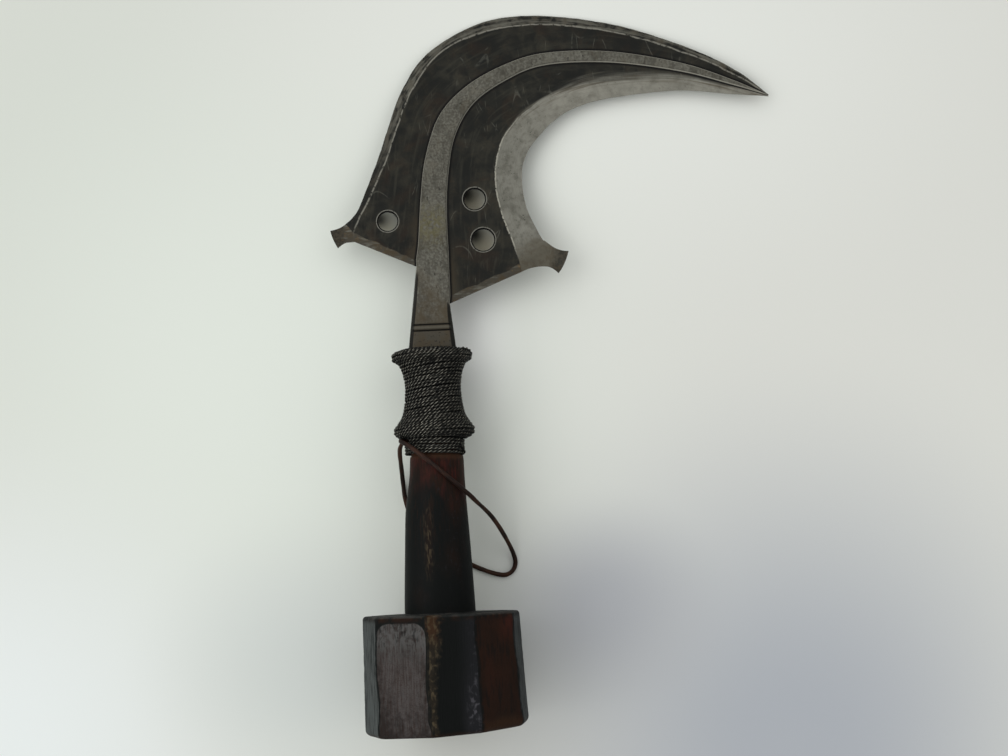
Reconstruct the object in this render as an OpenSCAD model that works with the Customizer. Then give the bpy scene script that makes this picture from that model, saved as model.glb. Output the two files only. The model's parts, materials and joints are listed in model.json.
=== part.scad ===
// Sickle knife with a forged hooked blade and a carved wooden handle, lying on a table.
// Every piece is drawn in the knife's own frame: X across the blade, Y along the handle
// towards the blade with its zero at the top of the binding, Z out of the blade's face.
// The whole knife is then tipped over the rim of its pommel until the blade meets the table.

/* [Blade] */
// Height of the blade's crest over the top of the binding
blade_rise = 168.5; // [155:0.5:185]
// Reach of the tip from the axis of the handle
blade_reach = 175; // [160:0.5:190]
// Thickness of the forged plate
plate_t = 2.2; // [1.8:0.1:3]
// Thickness left along the edges
edge_t = 0.6; // [0.4:0.1:1]
// Height of the curved rib over the plate, on each face
rib_rise = 1.5; // [0.8:0.1:2]
// Width in plan of each sloping side of the rib
rib_slope = 0.8; // [0.4:0.1:1.2]
// Thickness of the two fishtail spurs
spur_t = 1.4; // [1:0.1:1.8]
// Bore of the hole in the left wing
left_hole_d = 9.6; // [6:0.1:11]
// Bore of the upper hole in the right wing
upper_hole_d = 10.5; // [6:0.1:12]
// Bore of the lower hole in the right wing
lower_hole_d = 11; // [6:0.1:12]
// Width of the bright chamfer round each hole
hole_chamfer = 0.4; // [0.2:0.1:0.6]

/* [Neck and tang] */
// Width of the neck where it leaves the handle
neck_w = 23.4; // [20:0.1:26]
// Thickness of the neck where it leaves the handle
neck_t = 7.6; // [6:0.1:9]
// Width in plan of each sloping side of the neck
neck_slope = 1.5; // [1:0.1:2]
// Depth of the two incised lines across the neck
groove_depth = 0.5; // [0.2:0.1:0.8]
// Width of each incised line
groove_w = 1; // [0.6:0.1:1.4]
// Place of the lower incised line over the binding
groove_at = 8.4; // [6:0.1:12]
// Distance between the two incised lines
groove_gap = 3; // [2:0.1:5]
// Width of the tang under the shoulder
tang_w = 13; // [10:0.5:15]
// Thickness of the tang under the shoulder
tang_t = 4.6; // [3:0.1:6]
// Width of the tang at its end
tang_end_w = 6; // [4:0.5:9]
// Thickness of the tang at its end
tang_end_t = 3; // [2:0.1:4]
// Length of the tang inside the handle
tang_l = 72; // [50:1:95]

/* [Handle] */
// Depth of the handle's oval over its width
oval = 0.92; // [0.85:0.01:1]
// Length of the handle, from the top of the binding to the far end of the pommel
handle_l = 187; // [178:1:205]
// Width of the wooden spool's two flanges
flange_w = 36.5; // [32:0.5:40]
// Width of the spool's waist
waist_w = 24; // [21:0.2:27]
// Width of the spool's flat top, round the neck
top_w = 24.4; // [24:0.2:28]
// Drop from the top of the binding to the spool's flat top
top_drop = 2; // [1.5:0.1:3]
// Distance between the rims of the two flanges
flange_gap = 37; // [32:0.5:42]
// Width of the wood under the collar winding
collar_seat_w = 25.4; // [24:0.2:28]
// Width of the grip just below the collar
grip_top_w = 26.6; // [25:0.2:30]
// Width of the grip where it meets the pommel
grip_low_w = 35; // [30:0.5:40]
// Width over the corners of the pommel on its blade side
pommel_w = 76.8; // [66:0.2:86]
// Width over the corners of the pommel at its far end
pommel_end_w = 80; // [68:0.2:90]
// Length of the pommel
pommel_l = 56; // [45:1:70]
// Slant of the pommel's far end, which leaves its right side shorter
pommel_slant = 2.5; // [0:0.5:4]
// Worn chamfer round the pommel's rims
pommel_wear = 1.8; // [1:0.1:3]

/* [Binding] */
// Thickness of the wire
wire_d = 1.6; // [1.4:0.05:1.65]
// Turns of the main winding, from the neck to under the lower flange
binding_turns = 22; // [16:1:23]
// Turns of the collar winding on the top of the grip
collar_turns = 3; // [2:1:3]
// Distance between the turns of the collar
collar_pitch = 2.2; // [2.1:0.05:2.3]

/* [Thong] */
// Thickness of the hide thong
thong_d = 2; // [1.6:0.1:2.2]

/* [Hidden] */

// Fits: wood round the tang, wire over the wood, thong in its holes, shoulder on the wood
tang_play = 0.2;
wire_play = 0.2;
thong_play = 0.2;
seat_gap = 0.1;

bore_sides = 64;
oval_sides = 32;
loop_rings = 24;
wire_sides = 6;
thong_sides = 8;

function mix(a, b, s) = a + (b - a) * s;
function unit(v) = v / norm(v);

// A smooth curve through its knots, at span i and share s of that span
function knot(knots, i) =
    i < 0 ? 2 * knots[0] - knots[1] :
    i >= len(knots) ? 2 * knots[len(knots) - 1] - knots[len(knots) - 2] :
    knots[i];
function on_curve(knots, i, s) =
    let (
        a = knot(knots, i - 1),
        b = knot(knots, i),
        c = knot(knots, i + 1),
        d = knot(knots, i + 2)
    )
    0.5 * (2 * b + (c - a) * s + (2 * a - 5 * b + 4 * c - d) * s * s + (3 * b - 3 * c + d - a) * s * s * s);
function curve(knots, steps) = [
    for (i = [0 : len(knots) - 2], k = [0 : steps - 1]) on_curve(knots, i, k / steps),
    knots[len(knots) - 1]
];
function bezier(p, steps) = [
    for (k = [0 : steps])
        let (s = k / steps, r = 1 - s)
        r * r * r * p[0] + 3 * r * r * s * p[1] + 3 * r * s * s * p[2] + s * s * s * p[3]
];

// Rows across the blade from its lower edge to its tip. Each row crosses the outer edge, the
// outer bevel, both sides of the rib, the inner bevel and the inner edge.
blade_rows = [
    [[-41.5, 58], [-38.5, 56.5], [-6.5, 41.5], [9.5, 22], [46, 36.5], [61.5, 42.5]],
    [[-41, 61.5], [-37.5, 60], [-6.5, 44.5], [10, 26], [45.5, 40], [61, 49]],
    [[-33.5, 74.5], [-31, 73], [-5, 55], [10, 46], [42.5, 51], [56.5, 54]],
    [[-24.5, 96], [-21, 93.5], [-3, 77], [10, 70], [36.5, 70], [50, 69.5]],
    [[-18, 114], [-14.5, 110.5], [0, 96.5], [11.5, 88], [35, 86], [48.5, 86]],
    [[-10.5, 132.5], [-6.5, 130], [7.5, 117.5], [15.5, 107], [37.5, 99.5], [51.5, 97]],
    [[3, 151], [8.5, 150], [21, 132], [25.5, 123.5], [42, 108.5], [57, 104.5]],
    [[29.5, 165.5], [31, 160.5], [40, 142.5], [42.5, 135], [52, 118.5], [65, 112.5]],
    [[58.5, 168.5], [60, 163.5], [62, 148.5], [62.5, 142], [70, 128.5], [76, 119]],
    [[98.5, 162], [98, 158], [95, 148], [95, 142], [93, 134], [94, 123.5]],
    [[136.5, 148], [135, 145], [131, 140.5], [130, 136], [130, 133.5], [128, 126]],
    [[160.5, 134.5], [160, 132], [157, 130.5], [156, 128], [156, 127], [156, 123]],
    [[175, 121.9], [174.8, 121.8], [174.6, 121.7], [174.6, 121.4], [174.8, 121.3], [175, 121.1]]
];
tip_row = len(blade_rows) - 1;
drawn_reach = blade_rows[tip_row][0].x;
drawn_rise = max([for (row = blade_rows) row[0].y]);
function placed(p) = [p.x * blade_reach / drawn_reach, p.y * blade_rise / drawn_rise];
rows = [for (row = blade_rows) [for (p = row) placed(p)]];

row_steps = 7;
neck_steps = 5;
body_rows = [for (i = [1 : tip_row]) rows[i]];
edge_curves = [for (c = [0 : 5]) curve([for (row = body_rows) row[c]], row_steps)];
body_count = len(edge_curves[0]);

// Half thicknesses of the plate and of the rib at share s of the way to the tip
tip_thinning = 0.6;
rib_fade = 0.55;
function plate_half(s) = max(plate_t / 2 * (1 - tip_thinning * s * s * s), edge_t / 2);
function rib_half(s) = plate_half(s) + rib_rise * (1 - rib_fade * s) * (s < 1 ? 1 : 0.3);

// A closed ring of the blade: a row of [x, y, half thickness] on the upper face, then below
function both_faces(row) = concat(
    row,
    [for (i = [len(row) - 1 : -1 : 0]) [row[i].x, row[i].y, -row[i].z]]
);
function tall(p, h) = [p.x, p.y, h];
function rib_share(left, right) = min(rib_slope / norm(right - left), 0.3);
function blade_ring(p, edge_h, plate_h, rib_h) =
    let (share = rib_share(p[2], p[3]))
    both_faces([
        tall(p[0], edge_h),
        tall(p[1], plate_h),
        tall(p[2], plate_h),
        tall(mix(p[2], p[3], share), rib_h),
        tall(mix(p[3], p[2], share), rib_h),
        tall(p[3], plate_h),
        tall(p[4], plate_h),
        tall(p[5], edge_h)
    ]);

// A ring of the neck or tang: its four points a side lie on the sloping side facet
side_share = 0.45;
function bar_ring(left, right, slope, h) =
    let (
        across = unit(right - left) * slope,
        side = [for (k = [0 : 3]) mix(side_share, 1, k / 3)]
    )
    both_faces([
        for (k = [0 : 3]) tall(left + across * k / 3, h * side[k]),
        for (k = [3 : -1 : 0]) tall(right - across * k / 3, h * side[k])
    ]);
function tang_ring(y, w, t) = bar_ring([-w / 2, y], [w / 2, y], tang_slope, t / 2);

tang_slope = 1;
shoulder_y = seat_gap - top_drop;
tang_end_y = -top_drop - tang_l;
neck_end = 0.97;
function neck_ring(s) = bar_ring(
    mix([-neck_w / 2, 0], rows[0][2], s),
    mix([neck_w / 2, 0], rows[0][3], s),
    neck_slope,
    mix(neck_t / 2, rib_half(0), s)
);
blade_rings = concat(
    [tang_ring(tang_end_y, tang_end_w, tang_end_t)],
    [tang_ring(shoulder_y, tang_w, tang_t)],
    [bar_ring([-neck_w / 2, shoulder_y], [neck_w / 2, shoulder_y], neck_slope, neck_t / 2)],
    [for (k = [0 : neck_steps]) neck_ring(neck_end * k / neck_steps)],
    [blade_ring(rows[0], edge_t / 2, edge_t / 2 + 0.1, rib_half(0))],
    [
        for (i = [0 : body_count - 1])
            let (s = i / (body_count - 1))
            blade_ring([for (c = edge_curves) c[i]], edge_t / 2, plate_half(s), rib_half(s))
    ]
);

// Skin between rings of points that run clockwise as seen from behind the first one
module skin(rings) {
    n = len(rings[0]);
    last = len(rings) - 1;
    sides = [
        for (k = [0 : last - 1], j = [0 : n - 1])
            let (a = k * n + j, b = k * n + (j + 1) % n, c = b + n, d = a + n)
            each [[a, d, c], [a, c, b]]
    ];
    start = [for (j = [1 : n - 2]) [0, j, j + 1]];
    end = [for (j = [1 : n - 2]) [last * n, last * n + j + 1, last * n + j]];
    polyhedron(points = [for (ring = rings) each ring], faces = concat(sides, start, end));
}

// Fishtail spurs, each an upper side, an end and a lower side
spur_steps = 6;
left_spur = [
    [[-37.5, 68], [-41, 63], [-44.5, 62], [-49, 61.5]],
    [[-49, 61.5], [-48.5, 58.5], [-47, 55], [-45.5, 52.5]],
    [[-45.5, 52.5], [-43, 54.5], [-40, 56], [-34, 54.5]]
];
right_spur = [
    [[57.5, 53], [61, 48.5], [65.5, 46], [70, 46]],
    [[70, 46], [69, 42.5], [67.5, 38.5], [64.5, 35]],
    [[64.5, 35], [61, 38], [58, 40.5], [51.5, 38.5]]
];
function spur_outline(sides) = [
    for (side = sides) each bezier([for (p = side) placed(p)], spur_steps)
];

left_hole = [-20, 65];
upper_hole = [24, 74.5];
lower_hole = [27.5, 53.5];

module blade_hole(at, d) {
    through = plate_t + 2;
    place = placed(at);
    translate([place.x, place.y, -through / 2]) cylinder(h = through, d = d, $fn = bore_sides);
    for (face = [-1, 1])
        translate([place.x, place.y, face * (plate_t / 2 + 0.5 - (hole_chamfer + 0.5) / 2)])
            cylinder(
                h = hole_chamfer + 0.5,
                r1 = d / 2 + (face < 0 ? hole_chamfer + 0.5 : 0),
                r2 = d / 2 + (face > 0 ? hole_chamfer + 0.5 : 0),
                center = true,
                $fn = bore_sides
            );
}

// One incised line across the neck, cut as a shallow V on the upper and the lower face
module neck_groove(y) {
    face_h = mix(neck_t / 2, rib_half(0), y / rows[0][3].y);
    for (side = [0, 180])
        translate([0, y, 0])
            rotate([0, side, 0])
                translate([-neck_w / 2 - 1, 0, face_h])
                    rotate([90, 0, 90])
                        linear_extrude(height = neck_w + 2)
                            polygon([[-groove_w / 2, 0], [0, -groove_depth], [groove_w / 2, 0], [0, 1]]);
}

module blade() {
    color([0.27, 0.26, 0.25])
        laid()
            difference() {
                union() {
                    skin(blade_rings);
                    for (outline = [left_spur, right_spur])
                        linear_extrude(height = spur_t, center = true) polygon(spur_outline(outline));
                }
                blade_hole(left_hole, left_hole_d);
                blade_hole(upper_hole, upper_hole_d);
                blade_hole(lower_hole, lower_hole_d);
                neck_groove(groove_at);
                neck_groove(groove_at + groove_gap);
            }
}

// Profile of the handle from its flat top to the pommel, as [half width, place on the axis].
// Each side of the waist is drawn as shares of its length and depth, from the rim inwards.
rim_drop = 2.4;
flange_y = -top_drop - rim_drop;
lower_flange_y = flange_y - flange_gap;
waist_y = flange_y - 0.43 * flange_gap;
collar_y = lower_flange_y - 4;
collar_l = collar_turns * collar_pitch + 2;
grip_y = collar_y - collar_l;
end_y = -handle_l;
pommel_y = end_y + pommel_l;
upper_waist = [[0.12, 0.6], [0.3, 0.34], [0.57, 0.12]];
lower_waist = [[0.64, 0.1], [0.35, 0.3], [0.14, 0.7]];
function waist_points(shares, rim_y) = [
    for (p = shares) [mix(waist_w, flange_w, p.y) / 2, mix(rim_y, waist_y, p.x)]
];
head_knots = concat(
    [[top_w / 2, -top_drop], [flange_w / 2 - 1.4, flange_y + 0.9], [flange_w / 2, flange_y - 0.4]],
    waist_points(upper_waist, flange_y),
    [[waist_w / 2, waist_y]],
    waist_points(lower_waist, lower_flange_y),
    [[flange_w / 2, lower_flange_y + 0.4], [flange_w / 2 - 0.8, lower_flange_y - 1.2]],
    [[mix(collar_seat_w, flange_w, 0.35) / 2, lower_flange_y - 2.6]]
);
grip_knots = [
    [collar_seat_w / 2 + 0.3, collar_y],
    [collar_seat_w / 2, grip_y + 0.6],
    [grip_top_w / 2, grip_y - 1],
    [mix(grip_top_w, grip_low_w, 0.12) / 2, mix(grip_y, pommel_y, 0.14)],
    [mix(grip_top_w, grip_low_w, 0.48) / 2, mix(grip_y, pommel_y, 0.35)],
    [mix(grip_top_w, grip_low_w, 0.72) / 2, mix(grip_y, pommel_y, 0.6)],
    [mix(grip_top_w, grip_low_w, 0.95) / 2, mix(grip_y, pommel_y, 0.9)],
    [grip_low_w / 2, pommel_y - 3]
];
head_profile = curve(head_knots, 3);
handle_profile = concat(head_profile, curve(grip_knots, 2));

function oval_ring(r, y) = [
    for (i = [0 : oval_sides - 1])
        let (a = 360 * i / oval_sides)
        [r * cos(a), y, oval * r * sin(a)]
];

// Corners of the hewn pommel, in degrees round the axis from its top towards the right, and
// how far out each lies as a share of the half width
front_corners = [-97, -57, -10, 26, 62, 97, 128, 160, 200, 231];
front_shares = [1.05, 0.98, 1, 1, 1.02, 0.99, 1, 1, 1, 1.02];
end_corners = [-97, -55, -7, 28, 67, 98, 128, 160, 200, 231];
end_shares = [1.02, 0.97, 1, 0.99, 1.02, 1.01, 1, 1, 1, 1.01];
rest_corner = 160;
function pommel_ring(corners, shares, w, y, slant) = [
    for (i = [0 : len(corners) - 1])
        let (r = w / 2 * shares[i], x = r * sin(corners[i]))
        [x, y + x * tan(slant), r * cos(corners[i])]
];
function front_ring(w, y) = pommel_ring(front_corners, front_shares, w, y, 0);
function end_ring(w, y) = pommel_ring(end_corners, end_shares, w, y, pommel_slant);
pommel_rings = [
    front_ring(pommel_w - 2 * pommel_wear, pommel_y),
    front_ring(pommel_w, pommel_y - pommel_wear),
    end_ring(pommel_end_w, end_y + pommel_wear),
    end_ring(pommel_end_w - 2 * pommel_wear, end_y)
];

module pommel() {
    skin([for (ring = pommel_rings) [for (i = [len(ring) - 1 : -1 : 0]) ring[i]]]);
}

module tang_socket() {
    grow = 2 * tang_play;
    skin([
        tang_ring(tang_end_y - tang_play, tang_end_w + grow, tang_end_t + grow),
        tang_ring(1 - top_drop, tang_w + grow, tang_t + grow)
    ]);
}

// Holes at the left side, under the lower flange, where the thong's two ends go in
thong_drop = 4.7;
thong_y = lower_flange_y - thong_drop;
thong_angles = [166, 193];
thong_hole_depth = 1.6;
thong_cut_l = 8;

module thong_hole(angle) {
    d = thong_d + 2 * thong_play;
    translate([0, thong_y, 0])
        rotate([0, -angle, 0])
            translate([collar_seat_w / 2 - thong_hole_depth, 0, 0])
                rotate([0, 90, 0])
                    cylinder(h = thong_cut_l, d = d, $fn = bore_sides);
}

module handle() {
    color([0.2, 0.13, 0.1])
        laid()
            difference() {
                union() {
                    skin([for (p = handle_profile) oval_ring(p.x, p.y)]);
                    pommel();
                }
                tang_socket();
                for (angle = thong_angles)
                    thong_hole(angle);
            }
}

// Place on a profile at length s along it, from its running lengths
function running(profile) = [
    for (i = 0, d = 0; i < len(profile); i = i + 1, d = i < len(profile) ? d + norm(profile[i] - profile[i - 1]) : 0)
        d
];
function along(profile, lengths, s) = [
    lookup(s, [for (i = [0 : len(profile) - 1]) [lengths[i], profile[i].x]]),
    lookup(s, [for (i = [0 : len(profile) - 1]) [lengths[i], profile[i].y]])
];

// The wire's middle line lies over the wood's profile by its own radius and the play
wire_off = wire_d / 2 + wire_play;
function outward(profile, i) =
    let (
        a = profile[max(i - 1, 0)],
        b = profile[min(i + 1, len(profile) - 1)],
        t = unit(b - a)
    )
    [-t.y, t.x];
function raised(profile, by) = [
    for (i = [0 : len(profile) - 1]) profile[i] + by * outward(profile, i)
];

// Turns of wire round the handle that follow a profile at an even pitch
function turns_on(profile, turns, start) =
    let (
        lengths = running(profile),
        count = turns * loop_rings,
        span = lengths[len(profile) - 1]
    )
    [
        for (i = [0 : count])
            let (p = along(profile, lengths, span * i / count), a = start - 360 * i / loop_rings)
            [p.x * cos(a), p.y, oval * p.x * sin(a)]
    ];
function with_straight_ends(path, by) =
    let (n = len(path))
    concat(
        [path[0] + unit(path[0] - path[1]) * by],
        path,
        [path[n - 1] + unit(path[n - 1] - path[n - 2]) * by]
    );

// Rings of a round tube on a path, each kept square to it, with the side that faces away
// from the handle's axis as the first
function heading(path, i) = unit(path[min(i + 1, len(path) - 1)] - path[max(i - 1, 0)]);
function wire_rings(path, d) = [
    for (i = [0 : len(path) - 1])
        let (
            t = heading(path, i),
            away = unit([path[i].x, 0, path[i].z]),
            n = unit(away - (away * t) * t),
            b = cross(t, n)
        )
        [for (k = [0 : wire_sides - 1]) path[i] + d / 2 * (n * cos(60 * k) + b * sin(60 * k))]
];

// Least gap between the turns of one winding, measured from turn to turn on its points
function turn_gap(path, d) = min([
    for (i = [0 : len(path) - 1 - loop_rings], k = [-2 : 2])
        let (j = i + loop_rings + k)
        if (j < len(path)) norm(path[j] - path[i]) - d
]);

wire_start = 215;
collar_start = 148;
wire_inset = 0.55;
binding_profile = [for (p = raised(head_profile, wire_off)) if (p.x > top_w / 2 + wire_inset) p];
binding_path = turns_on(binding_profile, binding_turns, wire_start);
collar_top = collar_y - 1.8;
collar_profile = [
    [collar_seat_w / 2 + 0.2 + wire_off, collar_top],
    [collar_seat_w / 2 + wire_off, collar_top - collar_turns * collar_pitch]
];
collar_path = turns_on(collar_profile, collar_turns, collar_start);

module winding(path) {
    color([0.23, 0.24, 0.24])
        laid()
            skin(wire_rings(with_straight_ends(path, wire_d), wire_d));
}

module binding_wire() {
    echo(least_gap_between_binding_turns = turn_gap(binding_path, wire_d));
    winding(binding_path);
}

module collar_wire() {
    echo(least_gap_between_collar_turns = turn_gap(collar_path, wire_d));
    winding(collar_path);
}

// Route of the thong, on the resting knife: X from the handle's axis, Y from the top of the
// binding, Z from the table. It leaves the handle's left side under the lower flange, crosses
// the grip, hangs to the table, turns back under the grip and rises to the left side again.
thong_route = [
    [-11.2, -45.5, 28.4], [-13.5, -45.4, 28.9], [-15.8, -45.3, 30.3], [-17.1, -45.2, 32.8],
    [-16.8, -45.4, 35.6], [-15.1, -46.1, 37.7], [-12.8, -47.6, 38.9], [-9.2, -50.2, 40],
    [-4.5, -54, 41], [0.5, -58.4, 41.5], [5, -62.6, 41.2], [9, -66.3, 39.8],
    [12.6, -69.8, 37.2], [15.8, -73.2, 33.6], [19, -77, 29.2], [22.4, -80.8, 24.6],
    [25.8, -85.2, 19.6], [29, -90.6, 14.4], [31.8, -96.2, 9.6], [34.2, -101.6, 5.6],
    [36, -106.6, 2.8], [36.6, -110.6, 1.4], [35.4, -114.2, 1], [32.4, -116.4, 1],
    [28.4, -116.4, 1], [21.6, -114.2, 1], [13.6, -110.4, 1], [5.4, -105, 1],
    [-2.6, -98.4, 1], [-10.2, -91.2, 1], [-15.8, -83.4, 1], [-18, -76, 1.1],
    [-18.6, -69, 2.4], [-18.8, -62.4, 6], [-18.9, -56.6, 11], [-18.9, -52.4, 15],
    [-18.4, -49.2, 18.4], [-17, -47, 21], [-14.6, -46.1, 22.4], [-11.2, -46.1, 23.1]
];
thong_path = [for (p = curve(thong_route, 2)) [p.x, p.y, max(p.z, thong_d / 2)]];
function carried(path, start) = [
    for (
        i = 0, n = square_to(start, heading(path, 0));
        i < len(path);
        i = i + 1, n = square_to(n, heading(path, i))
    )
        n
];
function square_to(v, t) = unit(v - (v * t) * t);
function thong_rings() =
    let (sides = carried(thong_path, [0, 0, 1]))
    [
        for (i = [0 : len(thong_path) - 1])
            let (n = sides[i], b = cross(heading(thong_path, i), n))
            [
                for (k = [0 : thong_sides - 1])
                    let (a = 360 * k / thong_sides)
                    thong_path[i] + thong_d / 2 * (n * cos(a) + b * sin(a))
            ]
    ];

module thong() {
    color([0.24, 0.13, 0.08])
        translate([-middle.x, -middle.y, 0])
            skin(thong_rings());
}

// Pose at rest: the knife tips over the low rim of the pommel until the blade's underside
// meets the table
rim_y = pommel_y - pommel_wear;
rim_h = -pommel_w / 2 * cos(rest_corner);
blade_points = [for (ring = blade_rings) each ring];
rest_tilt = min([for (p = blade_points) if (p.y > 0) atan2(rim_h + p.z, p.y - rim_y)]);
lift = rim_h * cos(rest_tilt) + rim_y * sin(rest_tilt);
function laid_y(p) = p.y * cos(rest_tilt) + p.z * sin(rest_tilt);
pommel_points = [for (ring = pommel_rings) each ring];
low_x = min([for (p = spur_outline(left_spur)) p.x]);
high_x = max([for (p = blade_points) p.x]);
low_y = min([for (p = pommel_points) laid_y(p)]);
high_y = max([for (p = blade_points) laid_y(p)]);
middle = [(low_x + high_x) / 2, (low_y + high_y) / 2];

module laid() {
    translate([-middle.x, -middle.y, lift])
        rotate([-rest_tilt, 0, 0])
            children();
}

blade();
handle();
binding_wire();
collar_wire();
thong();
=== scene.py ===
"""Looks of a forged sickle knife with a carved handle, a twisted wire binding and a hide thong.

Lengths inside the classes are millimetres in the knife's own frame: X across the blade, Y along
the handle towards the blade with its zero at the top of the binding, Z out of the blade's face.
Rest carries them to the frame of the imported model, in metres.
"""

import json
import logging
import math
from collections.abc import Sequence
from dataclasses import dataclass
from enum import Enum

import bpy
import numpy as np
from mathutils import Matrix, Vector, noise


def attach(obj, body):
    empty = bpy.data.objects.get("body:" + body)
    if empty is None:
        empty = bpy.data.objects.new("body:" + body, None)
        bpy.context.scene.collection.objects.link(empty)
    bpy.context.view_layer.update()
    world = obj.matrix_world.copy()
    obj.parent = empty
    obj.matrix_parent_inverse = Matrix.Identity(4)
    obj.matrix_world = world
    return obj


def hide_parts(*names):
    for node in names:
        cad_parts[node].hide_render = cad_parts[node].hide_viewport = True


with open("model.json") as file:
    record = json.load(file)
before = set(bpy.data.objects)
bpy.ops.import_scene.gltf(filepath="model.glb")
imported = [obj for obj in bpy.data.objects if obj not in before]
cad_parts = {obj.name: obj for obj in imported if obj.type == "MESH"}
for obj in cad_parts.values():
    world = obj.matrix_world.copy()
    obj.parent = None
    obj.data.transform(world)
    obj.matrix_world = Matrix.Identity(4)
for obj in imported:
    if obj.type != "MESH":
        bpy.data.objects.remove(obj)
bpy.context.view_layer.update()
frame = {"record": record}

LOG = logging.getLogger("sickle_knife")
MM = 0.001
BODY = "root"
FAR = 30.0

Array = np.ndarray
Point = tuple[float, float, float]
Colour = tuple[float, float, float]
Table = tuple[tuple, ...]


# Curves, noise and shares


def mix(a: Array | float, b: Array | float, share: Array | float) -> Array | float:
    """Value at a share of the way from a to b."""
    return a + (b - a) * share


def eased(low: float, high: float, value: Array | float) -> Array | float:
    """Smooth rise from 0 at low to 1 at high."""
    t = np.clip((value - low) / (high - low), 0, 1)
    return t * t * (3 - 2 * t)


def spline(knots: Array, steps: int) -> Array:
    """Smooth curve through its knots, whatever numbers each knot holds.

    Args:
        knots: One row for each knot.
        steps: Points made for each span between two knots.

    Returns:
        The points of the curve, its first and last knots among them.
    """
    ends = [2 * knots[0] - knots[1]], [2 * knots[-1] - knots[-2]]
    k = np.concatenate([ends[0], knots, ends[1]])
    made = []
    for i in range(len(knots) - 1):
        a, b, c, d = k[i : i + 4]
        for s in np.arange(steps) / steps:
            bend = (2 * a - 5 * b + 4 * c - d) * s * s + (3 * b - 3 * c + d - a) * s**3
            made.append(0.5 * (2 * b + (c - a) * s + bend))
    made.append(knots[-1])
    return np.array(made)


def bezier(corners: Sequence[Sequence[float]], shares: Array) -> Array:
    """Points of a cubic Bezier curve.

    Args:
        corners: Its four corners.
        shares: Shares from 0 to 1.

    Returns:
        The point at each share.
    """
    a, b, c, d = (np.array(p, float) for p in corners)
    s = shares[:, None]
    r = 1 - s
    return r**3 * a + 3 * r * r * s * b + 3 * r * s * s * c + s**3 * d


def ripple(points: Array, size: float | Sequence[float], seed: float) -> Array:
    """Smooth noise over a set of points.

    Args:
        points: Points in millimetres, in an array whose last axis is x, y, z.
        size: Width of the noise's bumps in millimetres, one for all axes or one for each.
        seed: Picks another part of the same noise.

    Returns:
        A number from about -1 to 1 for each point.
    """
    flat = points.reshape(-1, 3) / np.array(size, float)
    shift = Vector((seed, 2.3 * seed, 3.7 * seed))
    return np.array([noise.noise(Vector(p) + shift) for p in flat]).reshape(points.shape[:-1])


def arc_lengths(points: Array) -> Array:
    """Length along a line of points at each of them."""
    steps = np.linalg.norm(np.diff(points, axis=0), axis=1)
    return np.concatenate([[0.0], np.cumsum(steps)])


# The resting pose


@dataclass(frozen=True)
class Rest:
    """Pose of the knife on the table."""

    turn: Array
    place: Array

    @classmethod
    def of_record(cls, record: dict, mount_name: str, centre: Sequence[float]) -> "Rest":
        """Reads the pose from a bore of the blade.

        Args:
            record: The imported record.
            mount_name: Name of the bore's mount.
            centre: The bore's centre in the knife's own frame, in millimetres.

        Returns:
            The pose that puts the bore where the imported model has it.
        """
        bore = next(m for m in record["mounts"] if m["name"] == mount_name)
        _, s, c = bore["axis"]
        turn = np.array([[1, 0, 0], [0, c, s], [0, -s, c]], float)
        place = np.array(bore["pos_m"], float) - turn @ (np.array(centre, float) * MM)
        return cls(turn, place)

    def matrix(self) -> Matrix:
        """The pose as a matrix, for a mesh in millimetres.

        Returns:
            The matrix.
        """
        moved = np.eye(4)
        moved[:3, :3] = self.turn * MM
        moved[:3, 3] = self.place
        return Matrix(moved.tolist())

    def angle(self) -> float:
        """Tip of the knife about X, in radians."""
        return math.atan2(self.turn[1, 2], self.turn[2, 2])

    def origin(self) -> Array:
        """Origin of the knife's own frame in a pattern that is turned back by the tip."""
        return self.turn.T @ self.place / MM


# Meshes


@dataclass
class Patch:
    """A grid of points, and the marks on them that a material reads."""

    points: Array
    marks: dict[str, Array]

    def faces(self, first: int, around: bool = False) -> list[tuple[int, ...]]:
        """Quads of the grid, which face up where rows go up and columns go right.

        Args:
            first: Number of the grid's first point among all the points.
            around: Whether the last column meets the first.

        Returns:
            The corners of each quad.
        """
        rows, columns = self.points.shape[:2]
        made = []
        for r in range(rows - 1):
            for c in range(columns if around else columns - 1):
                d = (c + 1) % columns
                low, high = first + r * columns, first + (r + 1) * columns
                made.append((low + c, low + d, high + d, high + c))
        return made


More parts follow.
